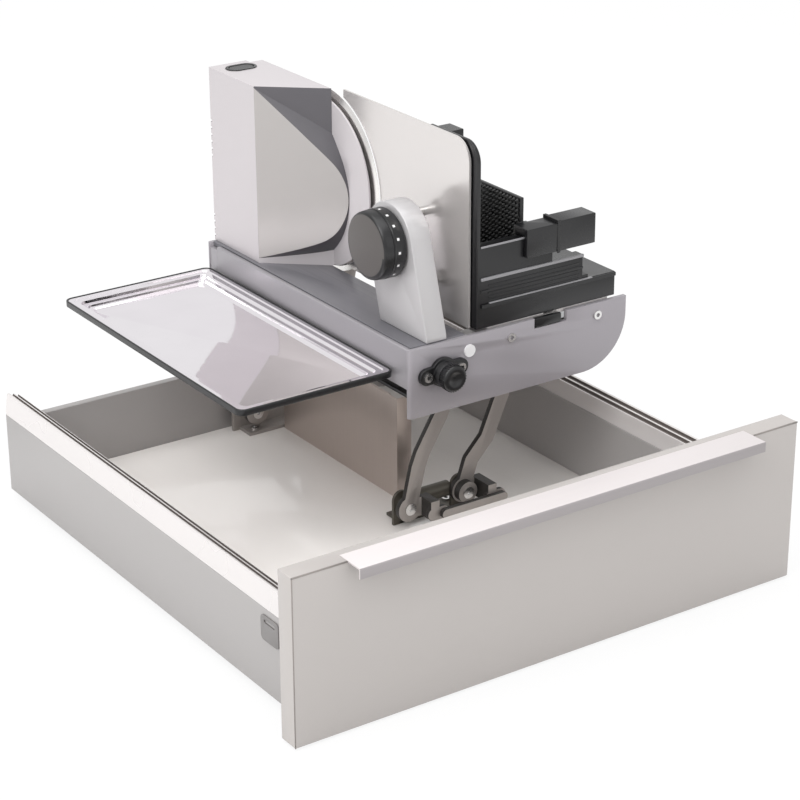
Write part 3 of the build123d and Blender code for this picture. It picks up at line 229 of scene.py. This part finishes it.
def newPiece(name, shape, finish):
    bmesh.ops.recalc_face_normals(shape, faces=shape.faces)
    mesh = bpy.data.meshes.new(name)
    shape.to_mesh(mesh)
    shape.free()
    piece = bpy.data.objects.new(name, mesh)
    bpy.context.scene.collection.objects.link(piece)
    for one in finish if isinstance(finish, (list, tuple)) else (finish,):
        mesh.materials.append(one)
    mesh.shade_smooth()
    return piece


mergeGap = 0.000002
flatAngle = math.radians(0.6)


def soften(piece, width, segments=2, angle=35):
    edge = piece.modifiers.new("edges", "BEVEL")
    edge.width = width * 0.001
    edge.segments = segments
    edge.limit_method = "ANGLE"
    edge.angle_limit = math.radians(angle)
    edge.use_clamp_overlap = True
    edge.harden_normals = True
    return piece


def softEdges(node, width, segments=2, angle=40, finish=None, cutFinish=None):
    shape = bmesh.new()
    shape.from_mesh(frame["nodes"][node].data)
    bmesh.ops.remove_doubles(shape, verts=shape.verts, dist=mergeGap)
    bmesh.ops.dissolve_limit(shape, angle_limit=flatAngle, verts=shape.verts, edges=shape.edges)
    used = [finish or finishes[slotOf[node]]]
    # For the grip strip the faces across Y keep the first finish, which there is painted shade on the lip's front
    if cutFinish:
        used.append(cutFinish)
        for face in shape.faces:  # the cut edges of a sheet that stands across Y
            face.material_index = 1 if abs(face.normal.y) < 0.5 else 0
    piece = newPiece(node + "Soft", shape, used)
    if width:
        soften(piece, width, segments, angle)
    else:
        piece.data.set_sharp_from_angle(angle=math.radians(angle))
    return keep(piece, bodyOf[node], (node,))


def addBox(shape, low, high, material=0):
    centre = [(a + b) / 2000 for a, b in zip(low, high)]
    scale = [abs(b - a) / 1000 for a, b in zip(low, high)]
    place = Matrix.Translation(centre) @ Matrix.Diagonal((*scale, 1))
    made = bmesh.ops.create_cube(shape, size=1.0, matrix=place)
    for corner in made["verts"]:
        for face in corner.link_faces:
            face.material_index = material


def addPrism(shape, outline, axis, start, end, material=0):
    order = {"x": (2, 0, 1), "y": (0, 2, 1), "z": (0, 1, 2)}[axis]
    rings = []
    for depth in (start, end):
        ring = []
        for a, b in outline:
            flat = (a, b, depth)
            ring.append(shape.verts.new([flat[order[i]] / 1000 for i in range(3)]))
        rings.append(ring)
    faces = [shape.faces.new(rings[0]), shape.faces.new(rings[1])]
    for i in range(len(outline)):
        j = (i + 1) % len(outline)
        faces.append(shape.faces.new((rings[0][i], rings[0][j], rings[1][j], rings[1][i])))
    for face in faces:
        face.material_index = material


def addLathe(shape, profile, centre, axis, steps=64, material=0):
    turned = {"x": Matrix.Rotation(math.pi / 2, 4, "Y"), "y": Matrix.Rotation(-math.pi / 2, 4, "X")}[axis]
    place = Matrix.Translation([value / 1000 for value in centre]) @ turned
    rings = []
    for along, radius in profile:
        ring = []
        for step in range(steps if radius > 0 else 1):
            turn = 2 * math.pi * step / steps
            spot = Vector((radius * math.cos(turn), radius * math.sin(turn), along)) / 1000
            ring.append(shape.verts.new(place @ spot))
        rings.append(ring)
    for near, far in zip(rings[:-1], rings[1:]):
        for step in range(steps):
            after = (step + 1) % steps
            corners = [near[step % len(near)], near[after % len(near)]]
            corners += [far[after % len(far)], far[step % len(far)]]
            unique = list(dict.fromkeys(corners))
            if len(unique) > 2:
                shape.faces.new(unique).material_index = material


def barProfile(length, radius):
    return [(0, 0), (0, radius), (length, radius), (length, 0)]


def roundedOutline(width, height, radius, centre=(0, 0), steps=8):
    points = []
    corners = ((1, 1, 0), (-1, 1, 90), (-1, -1, 180), (1, -1, 270))
    for signX, signY, start in corners:
        for step in range(steps + 1):
            turn = math.radians(start + 90 * step / steps)
            x = centre[0] + signX * (width / 2 - radius) + radius * math.cos(turn)
            y = centre[1] + signY * (height / 2 - radius) + radius * math.sin(turn)
            points.append((x, y))
    return points


class Graph(Tree):
    def __init__(self, name, inputs):
        group = bpy.data.node_groups.new(name, "GeometryNodeTree")
        super().__init__(group)
        group.interface.new_socket("Geometry", in_out="OUTPUT", socket_type="NodeSocketGeometry")
        self.sockets = {}
        for label, kind in inputs.items():
            made = group.interface.new_socket(label, in_out="INPUT", socket_type=kind)
            self.sockets[label] = made.identifier
        self.source = group.nodes.new("NodeGroupInput")

    def input(self, label):
        return Sock(self.tree, self.source.outputs[label])

    def finish(self, instances):
        solid = self.node("GeometryNodeRealizeInstances", None, {"Geometry": instances})
        coated = self.node("GeometryNodeSetMaterial", None, {"Geometry": solid, "Material": self.input("Finish")})
        self.node("NodeGroupOutput", None, {0: coated})

    def build(self, name, place, **values):
        mesh = bpy.data.meshes.new(name)
        piece = bpy.data.objects.new(name, mesh)
        bpy.context.scene.collection.objects.link(piece)
        maker = piece.modifiers.new("repeat", "NODES")
        maker.node_group = self.tree
        for label, value in values.items():
            maker[self.sockets[label]] = value
        piece.update_tag()
        depsgraph = bpy.context.evaluated_depsgraph_get()
        made = bpy.data.meshes.new_from_object(piece.evaluated_get(depsgraph))
        piece.modifiers.clear()
        piece.data = made
        made.transform(place)
        return piece


sizeInputs = {"Radius": "NodeSocketFloat", "Count": "NodeSocketInt", "Size": "NodeSocketVector"}
ringGraph = Graph("ringOfRibs", {**sizeInputs, "Finish": "NodeSocketMaterial"})
circle = ringGraph.node(
    "GeometryNodeMeshCircle", None, {"Vertices": ringGraph.input("Count"), "Radius": ringGraph.input("Radius")}
)
index = ringGraph.node("GeometryNodeInputIndex")
angle = index * (2 * math.pi) / ringGraph.input("Count")
turn = ringGraph.node("ShaderNodeCombineXYZ", None, {"Z": angle})
rib = ringGraph.node("GeometryNodeMeshCube", None, {"Size": ringGraph.input("Size")})
ribs = ringGraph.node(
    "GeometryNodeInstanceOnPoints", None, {"Points": circle, "Instance": rib, "Rotation": turn}
)
ringGraph.finish(ribs)

gridInputs = {
    "Width": "NodeSocketFloat",
    "Height": "NodeSocketFloat",
    "Columns": "NodeSocketInt",
    "Rows": "NodeSocketInt",
    "Foot": "NodeSocketFloat",
    "Reach": "NodeSocketFloat",
    "Finish": "NodeSocketMaterial",
}
gridGraph = Graph("gridOfStuds", gridInputs)
lattice = gridGraph.node(
    "GeometryNodeMeshGrid",
    None,
    {
        "Size X": gridGraph.input("Width"),
        "Size Y": gridGraph.input("Height"),
        "Vertices X": gridGraph.input("Columns"),
        "Vertices Y": gridGraph.input("Rows"),
    },
)
spike = gridGraph.node(
    "GeometryNodeMeshCone",
    None,
    {
        "Vertices": 6,
        "Radius Top": 0.0003,
        "Radius Bottom": gridGraph.input("Foot"),
        "Depth": gridGraph.input("Reach"),
    },
)
studs = gridGraph.node("GeometryNodeInstanceOnPoints", None, {"Points": lattice, "Instance": spike})
gridGraph.finish(studs)
print("geometry node groups ready")

# Finishes that one piece has to itself
deckSteel = brushed("deckSteel", tint(118, 117, 122), "y", 0.36, 0.35, 0.015, 500.0)
stopSatin = painted("stopSatin", tint(208, 204, 202), 0.2, 0.6, 0.01, 0.02)
darkEdge = moulded("darkEdge", tint(42, 39, 37), 0.5, 0.1)
darkBracket = painted("darkBracket", tint(92, 88, 80), 0.4, 0.5, 0.08, 0.1)
seamShade = painted("seamShade", tint(136, 130, 126), 0.5, 0.0, 0.05, 0.05)
gripLip = brushed("gripLip", tint(150, 145, 146), "x", 0.45, 0.1, 0.03)
grooveDark = painted("grooveDark", tint(98, 91, 87), 0.5, 0.2, 0.05, 0.05)
chamferGrey = painted("chamferGrey", tint(88, 86, 90), 0.4, 0.2, 0.04, 0.1)
faceGrey = painted("faceGrey", tint(166, 162, 160), 0.36, 0.2, 0.03, 0.08)
railGrey = painted("railGrey", tint(150, 147, 151), 0.36, 0.3, 0.03, 0.06)
legPaint = painted("legPaint", tint(182, 180, 181), 0.34, 0.2, 0.03, 0.06)
ledgeShine = painted("ledgeShine", tint(138, 137, 140), 0.3, 0.1, 0.05, 0.05)
knobFace = moulded("knobFace", tint(78, 74, 72), 0.42, 0.15, 1200.0, 0.05)
studBlack = moulded("studBlack", tint(28, 28, 29), 0.5, 0.2)

# Drawer
drawerEdges = {
    "front_panel": (0.9, 3),
    "side_wall_left": (0.5, 2),
    "side_wall_right": (0.5, 2),
    "side_covers": (0.4, 2),
    "rear_panel": (0.8, 2),
    "floor_panel": (0.3, 1),
    "divider_plate": (0.3, 2),
}
for node, (width, segments) in drawerEdges.items():
    softEdges(node, width, segments)
# The grip's faces across Y, the lip's front among them, take a darker copy of the grip metal as painted shade
softEdges("grip_strip", 0.25, finish=gripLip, cutFinish=finishes["grip_metal"])

# Rail caps, with the ridge at the outside and two grooves along the top, whose faces carry painted shade
rails = {
    "front": -237.0,
    "rear": 272.5,
    "profile": ((227.0, 82.0), (227.0, 84.0), (224.6, 100.8), (223.6, 102.0), (221.8, 101.6), (221.4, 99.4),
                (218.8, 98.9), (218.4, 100.4), (216.8, 100.0), (216.4, 97.6), (213.8, 97.0), (213.4, 98.6),
                (212.4, 98.2), (212.4, 85.0), (211.6, 83.2), (211.6, 82.0)),
    "dark": ((218.5, 221.7), (213.5, 216.7)),
    "darkAbove": 96.8,
}
shape = bmesh.new()
for side in (-1, 1):
    addPrism(shape, [(side * x, z) for x, z in rails["profile"]], "y", rails["front"], rails["rear"])
# Faces inside the two grooves take material 1, a darker paint that stands for the shade in the grooves
for face in shape.faces:
    middle = face.calc_center_median() * 1000
    sunk = any(low < abs(middle.x) < high for low, high in rails["dark"])
    face.material_index = 1 if sunk and middle.z > rails["darkAbove"] and len(face.verts) == 4 else 0
railPiece = soften(newPiece("railCaps", shape, (finishes["rail_alu"], grooveDark)), 0.3, 2, 30)
keep(railPiece, "drawer", ("side_rails",))

# Painted shade along the front's top edge and left corner: thin strips a shade darker than its face
edgeShadeStrips = {
    "half": 248.5,
    "grip": 199.4,
    "front": -256.65,
    "deep": 0.9,
    "band": (144.92, 146.1),
    "side": (2.0, 146.0),
    "sideWide": 0.7,
}
shape = bmesh.new()
near, half = edgeShadeStrips["front"], edgeShadeStrips["half"]
for start, end in ((-half, -edgeShadeStrips["grip"]), (edgeShadeStrips["grip"], half)):
    addBox(shape, (start, near, edgeShadeStrips["band"][0]), (end, near + edgeShadeStrips["deep"], edgeShadeStrips["band"][1]))
wide = edgeShadeStrips["sideWide"]
addBox(shape, (-half, near, edgeShadeStrips["side"][0]), (wide - half, near + wide, edgeShadeStrips["side"][1]))
keep(newPiece("paintedFrontEdgeShade", shape, seamShade), "drawer")
print("drawer softened")

# Lifting linkage and base
armEdges = {"front_arm_a": 0.8, "front_arm_b": 0.8, "rear_arm_a": 0.8, "rear_arm_b": 0.8, "front_link": 0.6}
for node, width in armEdges.items():
    softEdges(node, width, cutFinish=darkEdge)
linkageEdges = {
    "rear_foot_bracket": 0.5,
    "front_side_plate": 0.8,
    "rear_side_plate": 0.8,
    "tray_shelf": 0.4,
    "front_cross_beam": 0.4,
    "rear_cross_beam": 0.4,
    "lock_housing": 0.8,
    "table_latch": 0.3,
}
for node, width in linkageEdges.items():
    softEdges(node, width)
softEdges("left_rail", 0.6, finish=railGrey)
softEdges("rail_block", 0.8, finish=railGrey)

# Front foot bracket: two lugs on a flange, with a tube between them
footBracket = {
    "rear": -3.5,
    "thick": 3.0,
    "lugs": (19.0, 81.0),
    "half": 9.0,
    "low": 15.0,
    "crown": 38.0,
    "flange": ((17.0, -6.5, 15.0), (83.0, 15.5, 18.0)),
    "tube": {"centre": (28.0, -1.5, 34.0), "length": 44.0, "radius": 7.2},
}
shape = bmesh.new()
for x in footBracket["lugs"]:
    half = footBracket["half"]
    outline = [(x - half, footBracket["low"])]
    for step in range(13):
        bend = math.pi - math.pi * step / 12
        outline.append((x + half * math.cos(bend), footBracket["crown"] + half * math.sin(bend)))
    outline.append((x + half, footBracket["low"]))
    addPrism(shape, outline, "y", footBracket["rear"] - footBracket["thick"], footBracket["rear"])
addBox(shape, *footBracket["flange"])
tube = footBracket["tube"]
addLathe(shape, barProfile(tube["length"], tube["radius"]), tube["centre"], "x", 40)
bracketPiece = soften(newPiece("frontFootBracket", shape, darkBracket), 0.5, 2, 40)
keep(bracketPiece, "drawer", ("front_foot_bracket",))
print("linkage and base softened")

# Upper unit
upperEdges = {
    "head_plate": (0.5, deckSteel),
    "knob_arm": (1.6, legPaint),
    "stop_plate": (0, stopSatin),
    "blade_guard": (0.3, None),
    "carriage_guide": (0.5, None),
    "switch_ring": (0.3, None),
    "tray_frame": (0.5, None),
    "carriage": (1.0, None),
    "pusher": (1.2, None),
}
for node, (width, finish) in upperEdges.items():
    softEdges(node, width, finish=finish)
print("upper unit softened")

# Housing of the drive
housing = {
    "left": -9.0,
    "right": 43.5,
    "front": 181.5,
    "rear": 260.5,
    "low": 210.02,
    "high": 375.02,
    "wallSlope": 0.857,
    "faceSlope": 1.387,
    "spread": 0.78,  # how far the chamfers run out for each millimetre back
    "face": ((0.0, 163.5), (12.0, 146.5), (24.0, 129.5), (33.0, 116.5), (40.0, 106.5), (46.0, 97.0),
             (50.3, 84.0), (51.9, 70.0), (50.7, 55.5), (46.6, 41.0), (42.0, 32.5), (36.0, 26.0),
             (24.0, 18.0), (12.0, 11.0), (0.0, 4.6)),
    "meeting": 0.05,  # face and chamfer corners closer than this are one
    "sharpness": {"face": 0.14, "outside": 0.32, "chamfer": 0.08},
    "rounding": 5.0,
}
tiny = 1e-6


def smoothLine(points, rounds=2):
    for _ in range(rounds):
        cut = [points[0]]
        for (x0, y0), (x1, y1) in zip(points[:-1], points[1:]):
            cut.append((x0 * 0.75 + x1 * 0.25, y0 * 0.75 + y1 * 0.25))
            cut.append((x0 * 0.25 + x1 * 0.75, y0 * 0.25 + y1 * 0.75))
        cut.append(points[-1])
        points = cut
    return points


def driveHousing():
    own = housing
    shape = bmesh.new()
    curve = smoothLine(list(own["face"]))
    length = math.hypot(1.0, own["faceSlope"])
    across = Vector((1 / length, -own["faceSlope"] / length, 0))
    inward = Vector((own["faceSlope"] / length, 1 / length, 0))
    near, far, onSide = [], [], []
    for place, (u, z) in enumerate(curve):
        before, after = curve[max(place - 1, 0)], curve[min(place + 1, len(curve) - 1)]
        run = Vector(((after[0] - before[0]) * length, after[1] - before[1]))
        outX, outZ = -run.y, run.x
        size = math.hypot(outX, outZ)
        out = across * (outX / size) + Vector((0, 0, outZ / size))
        spot = Vector((own["left"] + u, own["front"] - own["faceSlope"] * u, own["low"] + z))
        way = inward + out * own["spread"]
        reach = []
        wall = own["wallSlope"]
        rate = way.y + wall * way.x
        gap = own["front"] - wall * (spot.x - own["left"]) - spot.y
        if rate > tiny:
            reach.append((gap / rate, "wall"))
        if way.x > tiny:
            reach.append(((own["right"] - spot.x) / way.x, "side"))
        if way.z < -tiny:
            reach.append(((own["low"] - spot.z) / way.z, "floor"))
        amount, kind = min((max(a, 0.0), k) for a, k in reach)
        near.append(spot)
        far.append(spot + way * amount)
        onSide.append(kind == "side")
    edgeY = own["front"] - own["wallSlope"] * (own["right"] - own["left"])
    corner = {
        "topLeft": (own["left"], own["front"], own["high"]),
        "topRight": (own["right"], edgeY, own["high"]),
        "lowLeft": (own["left"], own["front"], own["low"]),
        "lowRight": (own["right"], edgeY, own["low"]),
        "rearTopRight": (own["right"], own["rear"], own["high"]),
        "rearTopLeft": (own["left"], own["rear"], own["high"]),
        "rearLowRight": (own["right"], own["rear"], own["low"]),
        "rearLowLeft": (own["left"], own["rear"], own["low"]),
    }
    corner = {key: shape.verts.new(Vector(value) / 1000) for key, value in corner.items()}
    nearVerts = [shape.verts.new(spot / 1000) for spot in near]
    farVerts = []
    for a, b, vert in zip(far, near, nearVerts):
        farVerts.append(vert if (a - b).length < own["meeting"] else shape.verts.new(a / 1000))
    turns = [i for i in range(len(near) - 1) if onSide[i] != onSide[i + 1]]
    extra = {}
    for i in turns:
        height = (far[i].z + far[i + 1].z) / 2
        extra[i] = shape.verts.new(Vector((own["right"], edgeY, height)) / 1000)
    first, last = turns[0], turns[-1]

    def face(*verts, material=0):
        unique = list(dict.fromkeys(verts))
        if len(unique) > 2:
            shape.faces.new(unique).material_index = material

    # The D face takes material 3, a darker copy of the housing paint as painted shade
    face(*nearVerts, material=3)
    # The chamfer faces take material 2, a dark grey copy of the housing paint as painted shade
    for i in range(len(near) - 1):
        middle = [extra[i]] if i in extra else []
        face(nearVerts[i], nearVerts[i + 1], farVerts[i + 1], *middle, farVerts[i], material=2)
    face(corner["topLeft"], corner["topRight"], extra[first], *reversed(farVerts[: first + 1]), material=2)
    face(*farVerts[last + 1:], corner["lowLeft"], corner["lowRight"], extra[last])
    sideRun = farVerts[first + 1: last + 1]
    face(corner["topRight"], extra[first], *sideRun, extra[last], corner["lowRight"],
         corner["rearLowRight"], corner["rearTopRight"])
    face(corner["topLeft"], corner["topRight"], corner["rearTopRight"], corner["rearTopLeft"])
    face(corner["topLeft"], nearVerts[0], nearVerts[-1], corner["lowLeft"],
         corner["rearLowLeft"], corner["rearTopLeft"])
    face(corner["rearTopLeft"], corner["rearTopRight"], corner["rearLowRight"], corner["rearLowLeft"])
    face(corner["lowLeft"], corner["lowRight"], corner["rearLowRight"], corner["rearLowLeft"])
    weights = shape.edges.layers.float.new("bevel_weight_edge")
    faceVerts, chamferVerts = set(nearVerts), set(farVerts) | set(extra.values())
    outer = {corner[key] for key in ("topLeft", "topRight", "rearTopLeft", "rearTopRight", "rearLowLeft")}
    sharpness = own["sharpness"]
    for edge in shape.edges:
        ends = set(edge.verts)
        if ends == {nearVerts[0], nearVerts[-1]}:
            edge[weights] = 1.0
        elif ends <= faceVerts:
            edge[weights] = sharpness["face"]
        elif ends & outer:
            edge[weights] = sharpness["outside"]
        elif ends <= chamferVerts and all(abs(v.co.x * 1000 - own["right"]) < 0.01 for v in ends):
            edge[weights] = sharpness["chamfer"]
    return shape


def baked(piece):
    depsgraph = bpy.context.evaluated_depsgraph_get()
    mesh = bpy.data.meshes.new_from_object(piece.evaluated_get(depsgraph))
    piece.modifiers.clear()
    piece.data = mesh
    return piece


# Materials 2 and 3 are darker copies of the housing paint: painted shade on the chamfers and the D face
shellFinishes = (finishes["housing_paint"], studBlack, chamferGrey, faceGrey)
shell = newPiece("driveHousing", driveHousing(), shellFinishes)
edge = shell.modifiers.new("edges", "BEVEL")
edge.width, edge.segments, edge.limit_method = housing["rounding"] / 1000, 5, "WEIGHT"
edge.harden_normals = False
recesses = {
    "vents": {"rows": ((5.0, 4), (82.0, 6)), "pitch": 6.6, "x": 1.0, "size": (26.0, 2.4, 1.15), "y": (258.2, 262.0)},
    "switch": {"size": (30.3, 19.3, 9.6), "centre": (14.0, 241.5), "z": (369.6, 377.0)},
    "gear": {"centre": (38.5, 157.0, 286.02), "length": 6.0, "radius": 30.5, "steps": 48},
    "pinion": {"centre": (20.0, 191.68, 292.02), "length": 24.0, "radius": 9.6, "steps": 24},
    "rearPlate": ((30.0, 253.0, 209.0), (44.5, 262.0, 377.0)),
}
shape = bmesh.new()
vents = recesses["vents"]
for start, count in vents["rows"]:
    for row in range(count):
        centre = (vents["x"], housing["low"] + start + row * vents["pitch"])
        addPrism(shape, roundedOutline(*vents["size"], centre), "y", *vents["y"])
switch = recesses["switch"]
addPrism(shape, roundedOutline(*switch["size"], switch["centre"], 16), "z", *switch["z"])
for name in ("gear", "pinion"):
    bore = recesses[name]
    addLathe(shape, barProfile(bore["length"], bore["radius"]), bore["centre"], "x", bore["steps"])
addBox(shape, *recesses["rearPlate"], 1)  # the case stops short of the rear plate
cutter = newPiece("housingCutter", shape, (studBlack, finishes["housing_paint"]))
cut = shell.modifiers.new("recesses", "BOOLEAN")
cut.object, cut.operation, cut.solver = cutter, "DIFFERENCE", "EXACT"
cut.material_mode, cut.use_self = "TRANSFER", True
baked(shell)
bpy.data.objects.remove(cutter)
shell.data.shade_smooth()
shell.data.set_sharp_from_angle(angle=math.radians(28))
keep(shell, "head", ("motor_cover", "gear_housing"))
print("housing made:", len(shell.data.polygons), "faces")

# Stepped pan of the tray
pan = {
    "middle": (-94.5, 101.5),
    "size": (147.0, 306.0),
    "top": 186.02,
    "corner": 6.0,
    "steps": ((0.0, -0.9), (0.0, 0.0), (3.4, 0.0), (4.4, -1.1), (8.2, -1.6), (9.2, -4.2), (12.8, -4.8),
              (14.0, -8.2), (16.2, -9.2)),
    "under": ((16.6, -10.0), (12.6, -5.7), (4.4, -2.0)),
}


def panLoop(shape, inset, drop):
    wide, deep = [size - 2 * inset for size in pan["size"]]
    outline = roundedOutline(wide, deep, pan["corner"], pan["middle"])
    return [shape.verts.new((x / 1000, y / 1000, (pan["top"] + drop) / 1000)) for x, y in outline]


def joinLoops(shape, loops):
    for low, high in zip(loops[:-1], loops[1:]):
        for i in range(len(low)):
            j = (i + 1) % len(low)
            shape.faces.new((low[i], low[j], high[j], high[i]))


shape = bmesh.new()
above = [panLoop(shape, inset, drop) for inset, drop in pan["steps"]]
below = [panLoop(shape, inset, drop) for inset, drop in pan["under"]]
joinLoops(shape, above)
shape.faces.new(above[-1])
joinLoops(shape, [*below, above[0]])
shape.faces.new(below[0])
panPiece = soften(newPiece("trayPan", shape, finishes["mirror_steel"]), 0.35, 2, 24)
keep(panPiece, "tray", ("slice_tray",))
print("tray pan made")

# Ledges on the front of the carriage, its tab, and the strap of the pusher
ledges = {
    "front": -68.5,
    "deep": 1.0,
    "dark": ((58.0, 202.0, 229.2, 232.6, 1.6), (57.5, 166.0, 243.2, 245.2, 0.8)),  # start, end, low, high, proud
    "tab": ((166.0, -68.1, 233.0), (172.5, -59.5, 236.4)),
    "ribs": {"count": 5, "start": 65.5, "end": 162.0, "low": 234.2, "pitch": 3.4, "high": 1.5, "proud": 0.5},
    "shine": ((66.0, 176.0, 232.4, 233.5, 1.6), (57.5, 166.0, 253.8, 256.4, 1.6), (57.5, 132.6, 282.2, 284.1, 0.1)),
    "shineDeep": 0.8,
}
shape = bmesh.new()
near = ledges["front"]
for start, end, low, high, proud in ledges["dark"]:
    addBox(shape, (start, near - proud, low), (end, near + ledges["deep"], high))
addBox(shape, *ledges["tab"])
ribbed = ledges["ribs"]
for row in range(ribbed["count"]):
    low = ribbed["low"] + row * ribbed["pitch"]
    corner = (ribbed["end"], near + ledges["deep"], low + ribbed["high"])
    addBox(shape, (ribbed["start"], near - ribbed["proud"], low), corner)
# The strips in shine, in a lighter grey, are painted highlights on the ledge edges
for start, end, low, high, proud in ledges["shine"]:  # the pusher runs over the last one
    addBox(shape, (start, near - proud, low), (end, near + ledges["shineDeep"], high), 1)
ledgePiece = newPiece("carriageLedges", shape, (finishes["black_plastic"], ledgeShine))
keep(soften(ledgePiece, 0.45), "carriage")
strap = {
    "x": (133.6, 137.0),
    "runs": ((-74.1, 289.0, -52.9, 294.2), (-74.1, 264.8, -73.2, 289.2), (-53.8, 279.0, -52.9, 289.2)),
}
shape = bmesh.new()
for front, low, rear, high in strap["runs"]:
    addBox(shape, (strap["x"][0], front, low), (strap["x"][1], rear, high))
keep(soften(newPiece("pusherStrap", shape, studBlack), 0.5), "pusher")
studField = {
    "centre": (0.1082, -0.0225, 0.2795),
    "sizes": {"Width": 0.062, "Height": 0.056, "Columns": 15, "Rows": 13, "Foot": 0.0017, "Reach": 0.0022},
}
studPlace = Matrix.Translation(studField["centre"]) @ Matrix.Rotation(-math.pi / 2, 4, "Y")
studs = gridGraph.build("pusherStuds", studPlace, **studField["sizes"], Finish=studBlack)
keep(studs, "pusher")
print("carriage and pusher dressed")

# Thickness knob
knob = {
    "centre": (-20.8, -13.0, 284.52),
    "faceBelow": -20.6,
    "profile": ((0.0, 0.0), (0.0, 25.5), (0.4, 27.2), (1.5, 28.6), (3.2, 29.3), (9.0, 29.8), (9.6, 29.3),
                (10.6, 29.3), (11.2, 30.0), (20.4, 30.0), (21.4, 29.4), (22.6, 28.0), (23.0, 26.0), (23.0, 0.0)),
    "marksAt": (-0.0066, -0.013, 0.28452),
    "marks": {"Radius": 0.0296, "Count": 16, "Size": (0.0009, 0.0022, 0.0022)},
}
shape = bmesh.new()
addLathe(shape, knob["profile"], knob["centre"], "x", 96)
# The knob's end face, below faceBelow on x, takes a lighter grey than the black rim as painted reflection
for face in shape.faces:
    face.material_index = 1 if face.calc_center_median().x * 1000 < knob["faceBelow"] else 0
knobPiece = newPiece("thicknessKnobBody", shape, (finishes["black_plastic"], knobFace))
knobPiece.data.set_sharp_from_angle(angle=math.radians(40))
keep(knobPiece, "knob", ("thickness_knob",))
markPlace = Matrix.Translation(knob["marksAt"]) @ Matrix.Rotation(math.pi / 2, 4, "Y")
marks = ringGraph.build("knobMarks", markPlace, **knob["marks"], Finish=finishes["white_cap"])
keep(marks, "knob")
print("knob made")

# Lock knob
lockKnob = {
    "centre": (16.0, -82.8, 183.02),
    "profile": ((0.0, 0.0), (0.0, 10.6), (1.0, 11.4), (7.6, 11.4), (8.6, 10.6), (9.0, 9.4), (9.0, 6.0), (8.2, 5.2),
                (8.2, 0.0)),
    "ribsAt": (0.016, -0.0871, 0.18302),
    "ribs": {"Radius": 0.0113, "Count": 30, "Size": (0.0012, 0.0011, 0.0062)},
}
shape = bmesh.new()
flipped = [(-along, radius) for along, radius in lockKnob["profile"]]
addLathe(shape, flipped, lockKnob["centre"], "y", 64)
lockPiece = newPiece("lockKnobBody", shape, finishes["black_plastic"])
keep(lockPiece, "lock", ("lock_knob",))
ribPlace = Matrix.Translation(lockKnob["ribsAt"]) @ Matrix.Rotation(math.pi / 2, 4, "X")
lockRibs = ringGraph.build("lockKnobRibs", ribPlace, **lockKnob["ribs"], Finish=finishes["black_plastic"])
keep(lockRibs, "lock")
print("lock knob made")

# Camera, lights, floor and world
scene = bpy.context.scene
camera = bpy.data.objects.new("camera", bpy.data.cameras.new("camera"))
scene.collection.objects.link(camera)
scene.camera = camera
shot = {
    "place": (-1.0517, -1.5835, 0.9509),
    "azimuth": -34.138,
    "elevation": 23.201,
    "roll": -0.289,
    "lens": 107.76,
    "sensor": 36.0,
    "clip": (0.05, 60.0),
}
a, e, r = (math.radians(shot[key]) for key in ("azimuth", "elevation", "roll"))
back = Vector((math.sin(a) * math.cos(e), -math.cos(a) * math.cos(e), math.sin(e)))
right = Vector((math.cos(a), math.sin(a), 0))
up = back.cross(right)
right, up = math.cos(r) * right + math.sin(r) * up, math.cos(r) * up - math.sin(r) * right
camera.matrix_world = Matrix.Translation(shot["place"]) @ Matrix((right, up, back)).transposed().to_4x4()
camera.data.sensor_width = shot["sensor"]
camera.data.lens = shot["lens"]
camera.data.clip_start, camera.data.clip_end = shot["clip"]

lamps = {
    "key": {"place": (-2.6, -0.9, 2.5), "size": 1.8, "power": 46.0},
    "top": {"place": (-0.5, -0.3, 3.2), "size": 3.4, "power": 64.0},
    "front": {"place": (0.6, -3.2, 1.5), "size": 2.0, "power": 6.0},
}
lampAim = Vector((0.0, 0.0, 0.15))
for name, lamp in lamps.items():
    light = bpy.data.lights.new(name, "AREA")
    light.shape, light.size, light.energy = "SQUARE", lamp["size"], lamp["power"]
    holder = bpy.data.objects.new(name, light)
    scene.collection.objects.link(holder)
    holder.location = lamp["place"]
    aim = lampAim - Vector(lamp["place"])
    holder.rotation_euler = aim.to_track_quat("-Z", "Y").to_euler()

surround = {"light": 0.9, "seen": 0.1, "floorTone": 0.82, "floorGlow": 0.86, "floorHalf": 8.0}
world = bpy.data.worlds.new("world")
scene.world = world
world.use_nodes = True
world.node_tree.nodes.clear()
sky = Tree(world.node_tree)
rays = world.node_tree.nodes.new("ShaderNodeLightPath")
seen = Sock(world.node_tree, rays.outputs["Is Camera Ray"])
through = Sock(world.node_tree, rays.outputs["Is Transmission Ray"])
strength = surround["light"] + (seen + through) * surround["seen"]
background = sky.node("ShaderNodeBackground", None, {"Color": (1, 1, 1, 1), "Strength": strength})
sky.node("ShaderNodeOutputWorld", None, {"Surface": background})

floorMaterial = bpy.data.materials.new("floorPale")
floorMaterial.use_nodes = True
floorMaterial.node_tree.nodes.clear()
ground = Tree(floorMaterial.node_tree)
rays = floorMaterial.node_tree.nodes.new("ShaderNodeLightPath")
seen = Sock(floorMaterial.node_tree, rays.outputs["Is Camera Ray"])
matt = ground.node("ShaderNodeBsdfDiffuse", None, {"Color": (*[surround["floorTone"]] * 3, 1)})
glow = ground.node("ShaderNodeEmission", None, {"Color": (1, 1, 1, 1), "Strength": 1.0})
surface = ground.node("ShaderNodeMixShader", None, {0: seen * surround["floorGlow"], 1: matt, 2: glow})
ground.node("ShaderNodeOutputMaterial", None, {"Surface": surface})
shape = bmesh.new()
bmesh.ops.create_grid(shape, x_segments=1, y_segments=1, size=surround["floorHalf"])
floor = newPiece("floor", shape, floorMaterial)
scene.view_settings.view_transform = "Standard"
print("camera, lights and floor set")
